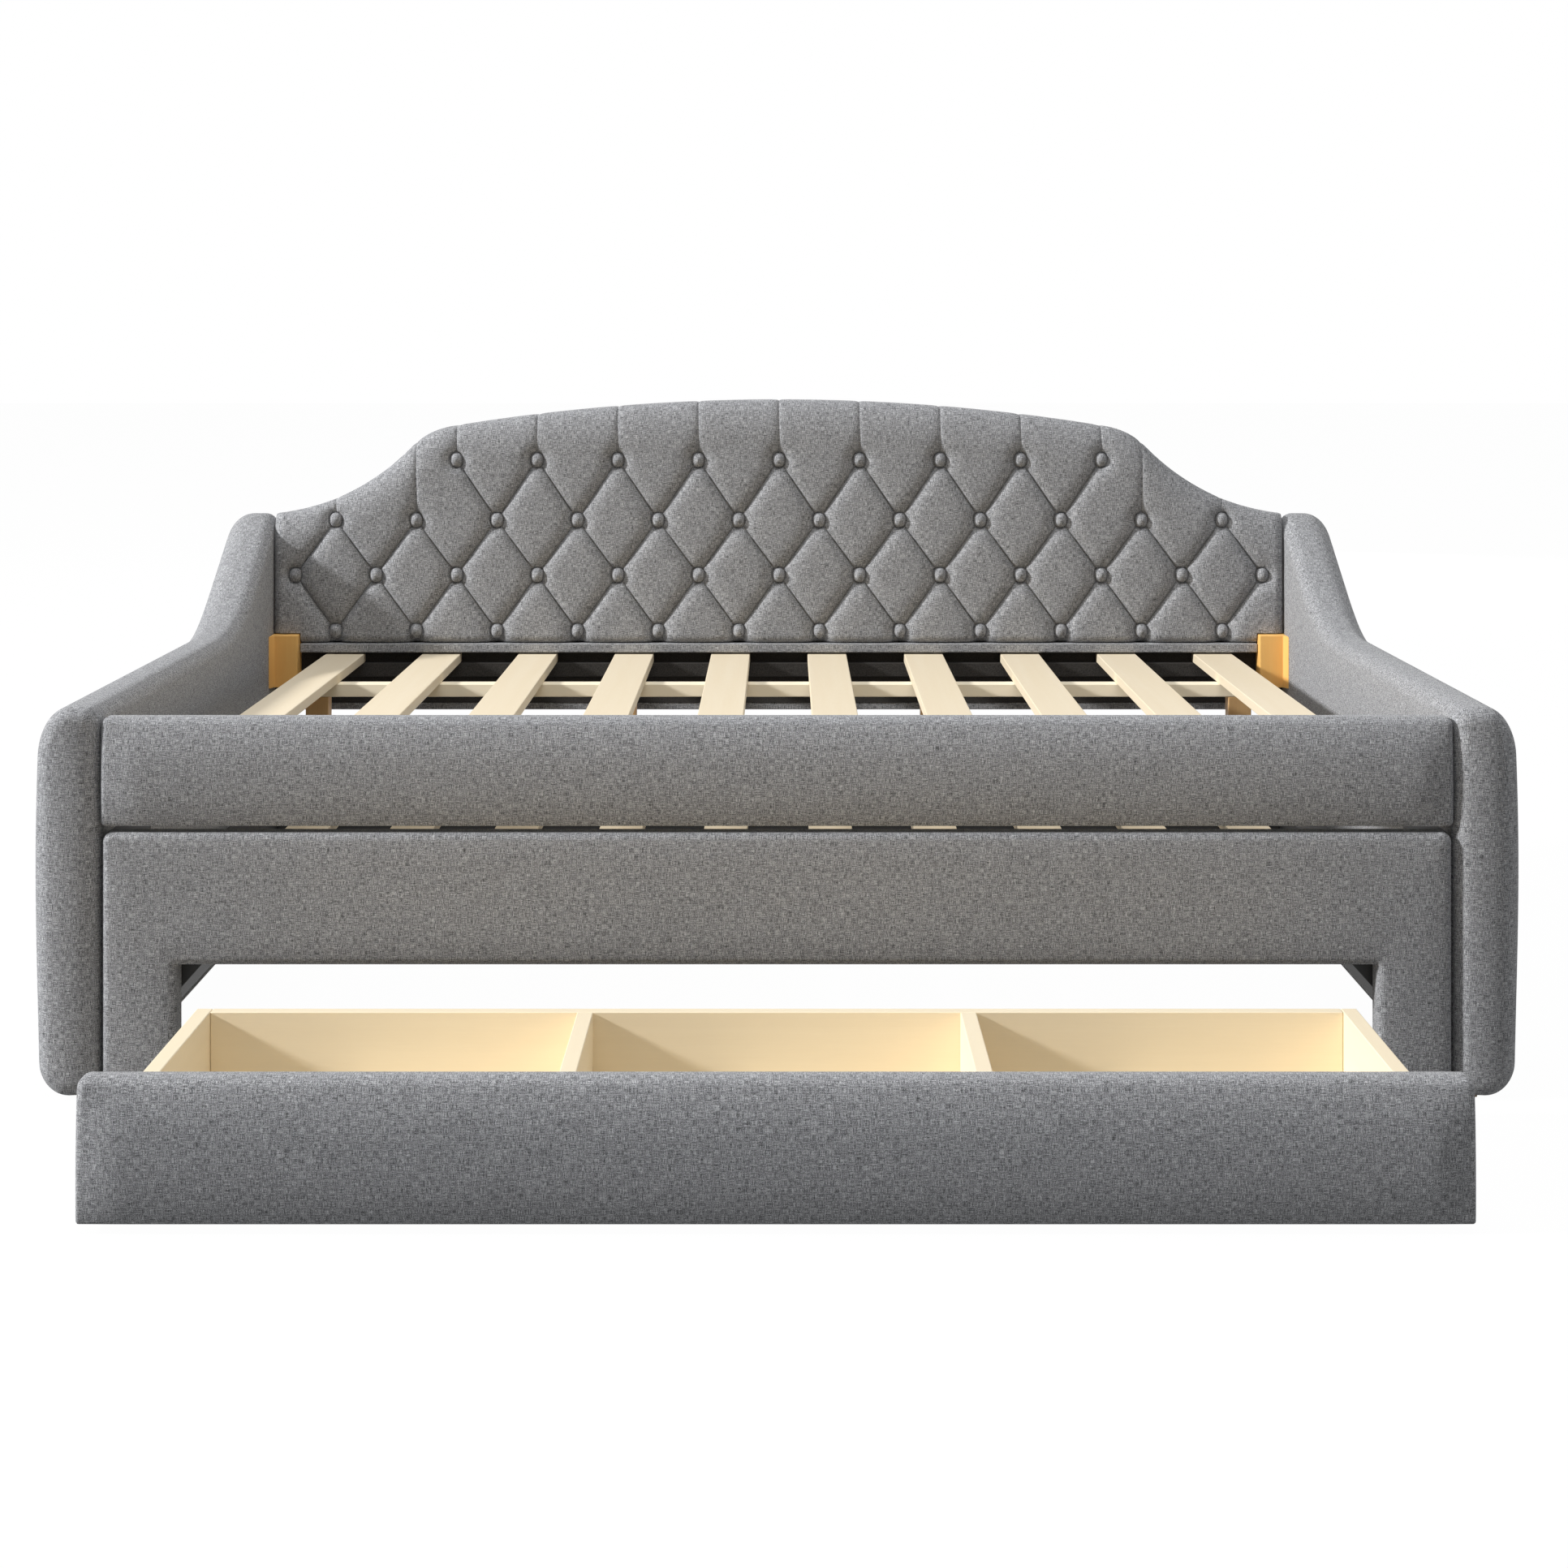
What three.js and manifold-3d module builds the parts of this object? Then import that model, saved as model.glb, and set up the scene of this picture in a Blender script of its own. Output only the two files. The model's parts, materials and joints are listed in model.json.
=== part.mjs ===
// Camel-back daybed, upholstered, with a roll-out trundle and a three-part rolling drawer.
// Millimetres, +Z up, +X to the right of someone who faces the bed, +Y towards the back.
// The pieces are laid out from the front face of the rail (y = 0). The finished group is moved so
// that its origin is the bottom centre of the whole bed, with the drawer standing out in front.
import * as THREE from "three";
import { mergeVertices } from "three/addons/utils/BufferGeometryUtils.js";
import Module from "manifold-3d";

const wasm = await Module();
wasm.setup();

// ---------- Clearances ----------
const SEAT = 0.3; // between a piece and the piece that carries it
const TRUNDLE_SIDE_GAP = 3; // trundle front to each arm
const RAIL_GAP = 12; // trundle front to the rail above it
const ARCH_GAP = 5; // drawer front to the arch around it
const FLOOR_GAP = 15; // padded fronts to the floor
const AXLE_GAP = 0.4; // wheel bore round its axle
const WHEEL_SIDE_GAP = 1.5; // wheel to each fork cheek

// ---------- Daybed ----------
const INNER_LENGTH = 1930; // between the arms
const SLEEP_DEPTH = 1401; // rail to back board
const RAIL_THICKNESS = 45;
const RAIL_HEIGHT = 155;
const RAIL_TOP = 545;
const BACK_THICKNESS = 61;
const BACK_BOTTOM = 371;

const ARM_THICKNESS = 91;
const ARM_LOW = 559; // level front part of the arm
const ARM_HIGH = 745; // where the arm meets the back
const SWOOP_ANGLE = THREE.MathUtils.degToRad(27.5); // steepest part of the arm's top
const SWOOP_RADIUS = 703; // hollow curve at the foot of the swoop
const CREST_RADIUS = 126; // round curve at its crest
const CREST_LEVEL = 17; // level stretch behind the crest
const ARM_FOOT = 4; // the core stands this much below the cover
const ARM_CORE = 24;
const ARM_INNER_PAD = 13;
const ARM_TOP_PAD = 30;
const ARM_END_PAD = 24;
const ARM_OUTER_TOP_WIDTH = 52;
const ARM_OUTER_TOP_HEIGHT = 75;
const ARM_INNER_TOP_RADIUS = 25;
const ARM_OUTER_FOOT_RADIUS = 58;
const ARM_INNER_FOOT_RADIUS = 10;
const ARM_END_RADIUS = 22;

// ---------- Camel back ----------
const CROWN_RADIUS = 3889; // long arc over the middle
const SHOULDER_RADIUS = 130; // round shoulder
const SWEEP_RADIUS = 435; // hollow sweep down to the arm
const SHOULDER_ANGLE = THREE.MathUtils.degToRad(46);
const SWEEP_END_ANGLE = THREE.MathUtils.degToRad(6.75);
const PAD_BOTTOM = 498;
const PAD_PROUD = 28; // crowns of the pad in front of the back board's lower rail
const BACK_PANEL = 25; // panel behind the pad
const BACK_TOP_PAD = 14; // padding over the panel's top edge
const PAD_EDGE_RADIUS = 26;
const PAD_REAR_RADIUS = 9;

// ---------- Button tufting ----------
const TUFT_PITCH = 154; // between neighbouring buttons in a row
const TUFT_ROW = 105; // between the lower rows
const TUFT_TOP_ROW = 115; // between the two upper rows
const TUFT_FIRST_ROW = 27; // lowest row above the pad's bottom
const TUFT_TOP_COUNT = 9; // buttons in the top row
const FOLD_DEPTH = 17;
const FOLD_WIDTH = 13;
const FOLD_SHARE = 0.62; // depth of a fold midway, as a share of its depth at a button
const BUTTON_DIMPLE = 20; // radius of the dimple round a button

// ---------- Slats and what carries them ----------
const SLAT_COUNT = 10;
const SLAT_WIDTH = 74;
const SLAT_THICKNESS = 17;
const SLAT_MARGIN = 137; // arm to the middle of the nearest slat
const SLAT_TOP = 480;
const LEDGER_DEPTH = 22;
const FRONT_LEDGER_HEIGHT = 45;
const REAR_LEDGER_HEIGHT = 26;
const LEDGER_PAST_SLATS = 20; // ledger past the outermost slat
const BEAM_BEHIND_TRUNDLE = 24; // support beam behind the shut trundle
const BEAM_DEPTH = 39;
const BEAM_HEIGHT = 23;
const LEG_WIDTH = 41;
const LEG_STATIONS = [-4.5, -1.5, 1.5, 4.5]; // leg centres, in slat pitches
const BLOCK_WIDTH = 51; // stock of the corner blocks and of the trundle's posts
const BLOCK_DEPTH = 50;
const BLOCK_HEIGHT = 99;
const BLOCK_ABOVE_SLATS = 38;
const BLOCK_FLARE_WIDTH = 6.5; // a corner block flares forward where it meets the arm
const BLOCK_FLARE = 22;
const LINING_TOP = 480;
const LINING_BOTTOM = 384;
const LINING_THICKNESS = 1;

// ---------- Padded fronts ----------
const FRONT_THICKNESS = 45; // trundle and drawer fronts
const FRONT_RADIUS = 11;
const FRONT_CORNER = 14;
const ARCH_CORNER = 4;
const FRONT_BOARD = 18;
const FRONT_WRAP = 12; // padding round the edges of a front board

// ---------- Trundle ----------
const TRUNDLE_DEPTH = 1065; // front face to the outside of its back board
const ARCH_LEG = 110; // padded legs either side of the arch
const ARCH_TOP = 195;
const TRUNDLE_BOARD = 22;
const TRUNDLE_SIDE_WIDTH = 55; // side rails, level with the slats
const TRUNDLE_SIDE_INSET = 19; // side rails inside the ends of the front
const TRUNDLE_SIDE_BOTTOM = 101; // side rails above the floor
const TRUNDLE_POST_DROP = 2; // front posts below the top of the front
const TRUNDLE_SLAT_MARGIN = 82; // side rail to the middle of the nearest slat
const TRUNDLE_BACK_HEIGHT = 78;
const TRUNDLE_LEDGER_HEIGHT = 21;
const TRUNDLE_LEDGER_LIFT = 1; // ledgers above the padding of the arch
const TRUNDLE_WHEEL_RADIUS = 25;
const TRUNDLE_CASTER_HEIGHT = 75;
const TRUNDLE_CASTER_INSET = 58; // caster axles from the front's back face and the frame's back
const STRAP_WIDTH = 25;
const STRAP_THICKNESS = 1.5;
const STRAP_INSET = 160; // webbing straps from the slat ends
const GUSSET_WIDTH = 73;
const GUSSET_HEIGHT = 82;
const GUSSET_BEHIND_LEG = 28; // gusset behind the padded leg
const GUSSET_THICKNESS = 18;

// ---------- Drawer ----------
const DRAWER_TRAVEL = 621; // how far the drawer stands out
const DRAWER_DEPTH = 503; // front face to the outside of its back
const DRAWER_FRONT_OVERLAP = 46; // front past each side
const DRAWER_BOX_TOP = 160;
const DRAWER_BOX_BOTTOM = 30;
const DRAWER_BOARD = 22;
const DRAWER_PANEL = 9; // bottom panel
const DRAWER_GROOVE = 6; // depth of the groove that holds the bottom panel
const DRAWER_COMPARTMENTS = 3;
const DRAWER_WHEEL_RADIUS = 19;
const DRAWER_CASTER_HEIGHT = 50;
const DRAWER_CASTER_INSET = 90; // caster axles from the front board and the back
const DRAWER_CASTER_SIDE = 60; // caster centres from the inner faces of the sides

// ---------- Casters ----------
const WHEEL_WIDTH = 18;
const WHEEL_EDGE = 3;
const WHEEL_HUB_RADIUS = 9;
const WHEEL_RECESS = 3;
const AXLE_RADIUS = 4;
const FORK_SHEET = 2.5;
const FORK_SKIRT = 9; // round end of a cheek below the axle centre
const CHEEK_SPREAD = 21.6; // half width of a cheek where it meets the plate
const PIN_PROUD = 1; // axle pin past each cheek
const PLATE_LENGTH = 60;
const PLATE_WIDTH = 40;
const WHEEL_SEGMENTS = 16;

// ---------- Finishes ----------
const FINISHES = {
  upholstery: { color: 0x8b8c8e, roughness: 0.95 },
  lining: { color: 0x262422, roughness: 0.9 },
  slat_wood: { color: 0xe9dcc0, roughness: 0.6 },
  core_wood: { color: 0xcfb38a, roughness: 0.8 },
  block_wood: { color: 0xb87a3c, roughness: 0.6 },
  leg_wood: { color: 0x9a7448, roughness: 0.7 },
  drawer_wood: { color: 0xecd9b4, roughness: 0.6 },
  black_paint: { color: 0x151515, roughness: 0.7 },
  caster_steel: { color: 0x3a3a3c, roughness: 0.4, metalness: 0.9 },
  caster_tread: { color: 0x1b1b1c, roughness: 0.6 },
};

// ---------- Derived places ----------
const HALF_LENGTH = INNER_LENGTH / 2;
const HALF_OVERALL = HALF_LENGTH + ARM_THICKNESS;
const BACK_FACE = RAIL_THICKNESS + SLEEP_DEPTH; // front face of the back's lower rail
const BED_DEPTH = BACK_FACE + BACK_THICKNESS;
const RAIL_BOTTOM = RAIL_TOP - RAIL_HEIGHT;
const SLAT_BOTTOM = SLAT_TOP - SLAT_THICKNESS;
const FIXED_HALF = HALF_LENGTH - SEAT; // half length of what is fixed between the arms
const BEAM_FRONT = TRUNDLE_DEPTH + BEAM_BEHIND_TRUNDLE;
const MIDDLE_Y = (BED_DEPTH - DRAWER_TRAVEL) / 2; // halfway from the drawer's front to the back
const THROUGH = 1; // how far a cutting or joining solid runs past the face it crosses

// ---------- Solids ----------
// A closed geometry as a manifold-3d solid.
function solidOf(geometry) {
  const bare = geometry.clone();
  bare.deleteAttribute("normal");
  bare.deleteAttribute("uv");
  const merged = mergeVertices(bare, 1e-4);
  return new wasm.Manifold(
    new wasm.Mesh({
      numProp: 3,
      vertProperties: new Float32Array(merged.attributes.position.array),
      triVerts: new Uint32Array(merged.index.array),
    }),
  );
}

function geometryOf(solid) {
  const mesh = solid.getMesh();
  const geometry = new THREE.BufferGeometry();
  geometry.setAttribute("position", new THREE.BufferAttribute(mesh.vertProperties, 3));
  geometry.setIndex(new THREE.BufferAttribute(mesh.triVerts, 1));
  return geometry;
}

function join(...geometries) {
  return geometryOf(geometries.map(solidOf).reduce((sum, next) => sum.add(next)));
}

function cut(body, ...tools) {
  return geometryOf(tools.map(solidOf).reduce((left, tool) => left.subtract(tool), solidOf(body)));
}

// A box between two corners.
function slab(x0, x1, y0, y1, z0, z1) {
  const box = new THREE.BoxGeometry(x1 - x0, y1 - y0, z1 - z0);
  return box.translate((x0 + x1) / 2, (y0 + y1) / 2, (z0 + z1) / 2);
}

// A profile in X and Z, extruded along Y. A bevel rounds both ends and is part of the profile's size.
function extrudeAlongY(shape, y0, y1, options = {}) {
  const bevel = options.bevelThickness ?? 0;
  const solid = new THREE.ExtrudeGeometry(shape, {
    depth: y1 - y0 - 2 * bevel,
    bevelEnabled: bevel > 0,
    ...options,
  });
  return solid.rotateX(Math.PI / 2).translate(0, y1 - bevel, 0);
}

// A profile in Y and Z, extruded along X.
function extrudeAlongX(shape, x0, x1, options = {}) {
  const solid = new THREE.ExtrudeGeometry(shape, { depth: x1 - x0, bevelEnabled: false, ...options });
  return solid.rotateZ(Math.PI / 2).rotateY(Math.PI / 2).translate(x0, 0, 0);
}

// A solid skinned over closed rings that all have the same number of points, with flat end caps.
function loft(rings) {
  const count = rings[0].length;
  const positions = rings.flat().flatMap((p) => [p.x, p.y, p.z]);
  const index = [];
  for (let i = 0; i + 1 < rings.length; i++) {
    for (let j = 0; j < count; j++) {
      const next = (j + 1) % count;
      const [a, b] = [i * count + j, i * count + next];
      index.push(a, b, b + count, a, b + count, a + count);
    }
  }
  const cap = (ring, base, first) => {
    const outline = ring.map((p) => new THREE.Vector2(p.u, p.v));
    const flip = first !== THREE.ShapeUtils.isClockWise(outline);
    for (const [a, b, c] of THREE.ShapeUtils.triangulateShape(outline, [])) {
      index.push(base + a, base + (flip ? c : b), base + (flip ? b : c));
    }
  };
  cap(rings[0], 0, true);
  cap(rings.at(-1), (rings.length - 1) * count, false);
  const geometry = new THREE.BufferGeometry();
  geometry.setAttribute("position", new THREE.Float32BufferAttribute(positions, 3));
  geometry.setIndex(index);
  return turnedOut(geometry);
}

// The same closed surface with its faces pointing out.
function turnedOut(geometry) {
  if (signedVolume(geometry) > 0) return geometry;
  const index = geometry.index.array;
  for (let i = 0; i < index.length; i += 3) {
    [index[i + 1], index[i + 2]] = [index[i + 2], index[i + 1]];
  }
  return geometry;
}

function signedVolume(geometry) {
  const [a, b, c] = [new THREE.Vector3(), new THREE.Vector3(), new THREE.Vector3()];
  const { position } = geometry.attributes;
  const index = geometry.index.array;
  let volume = 0;
  for (let i = 0; i < index.length; i += 3) {
    a.fromBufferAttribute(position, index[i]);
    b.fromBufferAttribute(position, index[i + 1]);
    c.fromBufferAttribute(position, index[i + 2]);
    volume += a.dot(b.cross(c));
  }
  return volume;
}

function mirrored(geometry) {
  const copy = geometry.index ? geometry.clone() : mergeVertices(geometry);
  return turnedOut(copy.scale(-1, 1, 1));
}

function rectangle(x0, x1, z0, z1) {
  const shape = new THREE.Shape();
  shape.moveTo(x0, z0).lineTo(x1, z0).lineTo(x1, z1).lineTo(x0, z1).closePath();
  return shape;
}

const bed = new THREE.Group();

function addPiece(name, finish, geometry, group = bed) {
  const mesh = new THREE.Mesh(geometry, new THREE.MeshStandardMaterial(FINISHES[finish]));
  mesh.name = name;
  group.add(mesh);
  return mesh;
}

// ---------- Arms ----------
// Height of the arm's top at y: level, a hollow arc, a straight slope, a round arc, level.
const swoopRise = ARM_HIGH - ARM_LOW;
const swoopArcs = SWOOP_RADIUS + CREST_RADIUS;
const slopeLength = (swoopRise - swoopArcs * (1 - Math.cos(SWOOP_ANGLE))) / Math.sin(SWOOP_ANGLE);
const crestEnd = BED_DEPTH - CREST_LEVEL;
const crestStart = crestEnd - CREST_RADIUS * Math.sin(SWOOP_ANGLE);
const slopeStart = crestStart - slopeLength * Math.cos(SWOOP_ANGLE);
const swoopStart = slopeStart - SWOOP_RADIUS * Math.sin(SWOOP_ANGLE);

function armTop(y) {
  if (y <= swoopStart) return ARM_LOW;
  if (y <= slopeStart) return ARM_LOW + SWOOP_RADIUS - Math.sqrt(SWOOP_RADIUS ** 2 - (y - swoopStart) ** 2);
  if (y >= crestEnd) return ARM_HIGH;
  if (y >= crestStart) return ARM_HIGH - CREST_RADIUS + Math.sqrt(CREST_RADIUS ** 2 - (crestEnd - y) ** 2);
  const slopeFoot = ARM_LOW + SWOOP_RADIUS * (1 - Math.cos(SWOOP_ANGLE));
  return slopeFoot + (y - slopeStart) * Math.tan(SWOOP_ANGLE);
}

// Stations along the arm where its top changes direction, from y0 to y1.
function armStations(y0, y1) {
  const bends = [];
  for (let i = 0; i <= 6; i++) bends.push(THREE.MathUtils.lerp(swoopStart, slopeStart, i / 6));
  for (let i = 0; i <= 3; i++) bends.push(THREE.MathUtils.lerp(crestStart, crestEnd, i / 3));
  return [y0, ...bends.filter((y) => y > y0 + 1 && y < y1 - 1), y1];
}

// A quarter of an ellipse round (cx, cz) from angle a to a + 90 degrees.
function quarter(cx, cz, rx, rz, a, steps) {
  return Array.from({ length: steps + 1 }, (_, i) => {
    const angle = a + (i / steps) * (Math.PI / 2);
    return [cx + rx * Math.cos(angle), cz + rz * Math.sin(angle)];
  });
}

// Section of the right arm's cover at y, drawn in by inset: a pad with soft corners, roundest outside.
function armSection(y, inset) {
  const inner = HALF_LENGTH + inset;
  const outer = HALF_OVERALL - inset;
  const low = ARM_FOOT + inset;
  const high = armTop(y) - inset;
  const soft = (radius) => Math.max(radius - inset, 2);
  const points = [
    ...quarter(outer - soft(ARM_OUTER_TOP_WIDTH), high - soft(ARM_OUTER_TOP_HEIGHT),
      soft(ARM_OUTER_TOP_WIDTH), soft(ARM_OUTER_TOP_HEIGHT), 0, 6),
    ...quarter(inner + soft(ARM_INNER_TOP_RADIUS), high - soft(ARM_INNER_TOP_RADIUS),
      soft(ARM_INNER_TOP_RADIUS), soft(ARM_INNER_TOP_RADIUS), Math.PI / 2, 3),
    ...quarter(inner + soft(ARM_INNER_FOOT_RADIUS), low + soft(ARM_INNER_FOOT_RADIUS),
      soft(ARM_INNER_FOOT_RADIUS), soft(ARM_INNER_FOOT_RADIUS), Math.PI, 2),
    ...quarter(outer - soft(ARM_OUTER_FOOT_RADIUS), low + soft(ARM_OUTER_FOOT_RADIUS),
      soft(ARM_OUTER_FOOT_RADIUS), soft(ARM_OUTER_FOOT_RADIUS), 1.5 * Math.PI, 5),
  ];
  return points.map(([x, z]) => ({ x, y, z, u: x, v: z }));
}

// The right arm's cover: sections skinned from front to back, with rounded ends.
function armPad() {
  const turns = [0, 1, 2, 3].map((i) => (i / 3) * (Math.PI / 2));
  const depth = (turn) => ARM_END_RADIUS * (1 - Math.cos(turn));
  const inset = (turn) => ARM_END_RADIUS * (1 - Math.sin(turn));
  const front = turns.map((turn) => armSection(depth(turn), inset(turn)));
  const back = turns.map((turn) => armSection(BED_DEPTH - depth(turn), inset(turn))).reverse();
  const middle = armStations(ARM_END_RADIUS, BED_DEPTH - ARM_END_RADIUS).slice(1, -1);
  return loft([...front, ...middle.map((y) => armSection(y, 0)), ...back]);
}

// Side view of the arm's core, made larger by clearance, from height bottom up.
function armCoreOutline(clearance, bottom) {
  const [y0, y1] = [ARM_END_PAD - clearance, BED_DEPTH - ARM_END_PAD + clearance];
  const top = armStations(y0, y1).map((y) => new THREE.Vector2(y, armTop(y) - ARM_TOP_PAD + clearance));
  return new THREE.Shape([new THREE.Vector2(y0, bottom), ...top, new THREE.Vector2(y1, bottom)]);
}

function addArms() {
  const coreInner = HALF_LENGTH + ARM_INNER_PAD;
  const coreOuter = coreInner + ARM_CORE;
  const core = extrudeAlongX(armCoreOutline(0, 0), coreInner, coreOuter);
  const pocket = extrudeAlongX(armCoreOutline(SEAT, -ARM_FOOT), coreInner - SEAT, coreOuter + SEAT);
  const cover = cut(armPad(), pocket);
  addPiece("right_arm_core", "core_wood", core);
  addPiece("right_arm_cover", "upholstery", cover);
  addPiece("left_arm_core", "core_wood", mirrored(core));
  addPiece("left_arm_cover", "upholstery", mirrored(cover));
}

// ---------- Camel back ----------
// The outline is one long arc, a round shoulder and a hollow sweep at each end, all tangent.
const sweepCentre = {
  x: HALF_LENGTH + SWEEP_RADIUS * Math.sin(SWEEP_END_ANGLE),
  z: ARM_HIGH + SWEEP_RADIUS * Math.cos(SWEEP_END_ANGLE),
};
const shoulderCentre = {
  x: sweepCentre.x - (SWEEP_RADIUS + SHOULDER_RADIUS) * Math.sin(SHOULDER_ANGLE),
  z: sweepCentre.z - (SWEEP_RADIUS + SHOULDER_RADIUS) * Math.cos(SHOULDER_ANGLE),
};
const crownAngle = Math.asin(shoulderCentre.x / (CROWN_RADIUS - SHOULDER_RADIUS));
const crownCentre = { x: 0, z: shoulderCentre.z - (CROWN_RADIUS - SHOULDER_RADIUS) * Math.cos(crownAngle) };

// Height of the camel outline at x, drawn in square to itself by inset.
function camelTop(x, inset = 0) {
  const u = Math.abs(x);
  const arc = (centre, radius, side) => centre.z + side * Math.sqrt(radius ** 2 - (u - centre.x) ** 2);
  const crown = CROWN_RADIUS - inset;
  const shoulder = SHOULDER_RADIUS - inset;
  if (u <= crown * Math.sin(crownAngle)) return arc(crownCentre, crown, 1);
  if (u <= shoulderCentre.x + shoulder * Math.sin(SHOULDER_ANGLE)) return arc(shoulderCentre, shoulder, 1);
  return arc(sweepCentre, SWEEP_RADIUS + inset, -1);
}

// Button rows from the lowest up: height and button places, in half pitches from the middle.
const tuftHalf = TUFT_PITCH / 2;
const tuftRows = [0, 1, 2, 3].map((row) => {
  const z = PAD_BOTTOM + TUFT_FIRST_ROW + TUFT_ROW * Math.min(row, 2) + TUFT_TOP_ROW * Math.max(row - 2, 0);
  const widest = Math.floor((HALF_LENGTH - tuftHalf / 2) / tuftHalf);
  const last = row === 3 ? TUFT_TOP_COUNT - 1 : widest - ((widest + row + 1) % 2);
  const places = [];
  for (let c = -last; c <= last; c += 2) places.push(c);
  return { z, places };
});

// Folds: straight lines from button to button, and seams from the upper buttons to the top edge.
function foldLines() {
  const lines = [];
  tuftRows.slice(0, 3).forEach((row, i) => {
    const upper = tuftRows[i + 1];
    for (const c of row.places) {
      for (const d of [c - 1, c + 1].filter((place) => upper.places.includes(place))) {
        const outside = i === 2 && Math.abs(d) === TUFT_TOP_COUNT - 1 && Math.abs(c) > Math.abs(d);
        if (!outside) lines.push([c * tuftHalf, row.z, d * tuftHalf, upper.z]);
      }
    }
  });
  const [, , second, top] = tuftRows;
  const seams = second.places.filter((c) => Math.abs(c) > TUFT_TOP_COUNT - 1);
  for (const c of seams) lines.push([c * tuftHalf, second.z, c * tuftHalf, camelTop(c * tuftHalf)]);
  for (const c of top.places) lines.push([c * tuftHalf, top.z, c * tuftHalf, camelTop(c * tuftHalf)]);
  return lines;
}

const folds = foldLines();

function distanceToLine(x, z, [x0, z0, x1, z1]) {
  const [dx, dz] = [x1 - x0, z1 - z0];
  const along = THREE.MathUtils.clamp(((x - x0) * dx + (z - z0) * dz) / (dx * dx + dz * dz), 0, 1);
  return Math.hypot(x - x0 - along * dx, z - z0 - along * dz);
}

// Depth of the upholstery below its crowns: each fold and each button draws it in round itself.
function tuftDepth(x, z) {
  let crown = 1;
  for (const line of folds) {
    crown *= 1 - FOLD_SHARE * Math.exp(-distanceToLine(x, z, line) / FOLD_WIDTH);
  }
  for (const row of tuftRows) {
    for (const c of row.places) {
      const away = Math.hypot(x - c * tuftHalf, z - row.z);
      crown *= 1 - FOLD_SHARE * Math.exp(-((away / BUTTON_DIMPLE) ** 2));
    }
  }
  return FOLD_DEPTH * (1 - crown);
}

// Places along the back, a quarter of the button spacing apart, with the ends between the arms.
const tuftStep = tuftHalf / 4;
const backStations = [-FIXED_HALF, FIXED_HALF];
for (let i = Math.ceil((tuftStep / 2 - FIXED_HALF) / tuftStep); i * tuftStep < FIXED_HALF - tuftStep / 2; i++) {
  backStations.splice(-1, 0, i * tuftStep);
}

// Heights on the pad's face, four to a button row.
function faceLevels() {
  const heights = [PAD_BOTTOM + TUFT_FIRST_ROW / 3];
  for (let i = 0; i < 3; i++) {
    for (let k = 0; k < 4; k++) heights.push(THREE.MathUtils.lerp(tuftRows[i].z, tuftRows[i + 1].z, k / 4));
  }
  const last = tuftRows[3].z;
  heights.push(last, last + TUFT_TOP_ROW / 4, last + TUFT_TOP_ROW / 2);
  return heights;
}

const levels = faceLevels();

// The pad's section at x: tufted face, round top edge, and a rabbet behind over the panel's edge.
function padSection(x) {
  const top = camelTop(x);
  const face = BACK_FACE - PAD_PROUD;
  const panel = BED_DEPTH - BACK_PANEL - SEAT;
  const rabbet = camelTop(x, BACK_TOP_PAD - SEAT);
  const shoulder = top - PAD_EDGE_RADIUS;
  const crowded = 1.2; // levels that the low ends have no room for lie this close
  const heights = levels.map((z, k) => Math.min(z, shoulder - crowded * (levels.length - k)));
  const front = heights.map((z) => [face + tuftDepth(x, z), z]);
  const lip = face + tuftDepth(x, PAD_BOTTOM);
  const edge = face + tuftDepth(x, shoulder);
  const roll = quarter(edge + PAD_EDGE_RADIUS, shoulder, -PAD_EDGE_RADIUS, PAD_EDGE_RADIUS, 0, 4);
  const rear = quarter(BED_DEPTH - PAD_REAR_RADIUS, top - PAD_REAR_RADIUS,
    -PAD_REAR_RADIUS, PAD_REAR_RADIUS, Math.PI / 2, 2);
  const points = [
    [panel, PAD_BOTTOM],
    [lip + TUFT_FIRST_ROW / 3, PAD_BOTTOM],
    ...front,
    ...roll,
    ...rear,
    [BED_DEPTH, rabbet],
    [panel, rabbet],
  ];
  return points.map(([y, z]) => ({ x, y, z, u: y, v: z }));
}

// A block in the corner of arm and back, as a box made larger by clearance.
const blockBack = BACK_FACE - LINING_THICKNESS - 2 * SEAT;
const blockTop = SLAT_TOP + BLOCK_ABOVE_SLATS;

function blockBox(clearance) {
  return slab(
    FIXED_HALF - BLOCK_WIDTH - clearance, FIXED_HALF + clearance,
    blockBack - BLOCK_DEPTH - clearance, blockBack + clearance,
    blockTop - BLOCK_HEIGHT - clearance, blockTop + clearance,
  );
}

function addBack() {
  const outline = backStations.map((x) => new THREE.Vector2(x, camelTop(x, BACK_TOP_PAD)));
  const foot = PAD_BOTTOM - SEAT;
  const panelShape = new THREE.Shape([
    new THREE.Vector2(FIXED_HALF, BACK_BOTTOM),
    ...outline.reverse(),
    new THREE.Vector2(-FIXED_HALF, BACK_BOTTOM),
  ]);
  const panel = extrudeAlongY(panelShape, BED_DEPTH - BACK_PANEL, BED_DEPTH);
  const lowerRail = slab(-FIXED_HALF, FIXED_HALF, BACK_FACE, BED_DEPTH, BACK_BOTTOM, foot);
  addPiece("back_board", "upholstery", join(panel, lowerRail));
  const pad = loft(backStations.map(padSection));
  const notch = blockBox(SEAT);
  addPiece("back_pad", "upholstery", cut(pad, notch, mirrored(notch)));
  const lining = BACK_FACE - SEAT;
  addPiece("back_lining", "lining",
    slab(-FIXED_HALF, FIXED_HALF, lining - LINING_THICKNESS, lining, LINING_BOTTOM, LINING_TOP));
}

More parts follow.
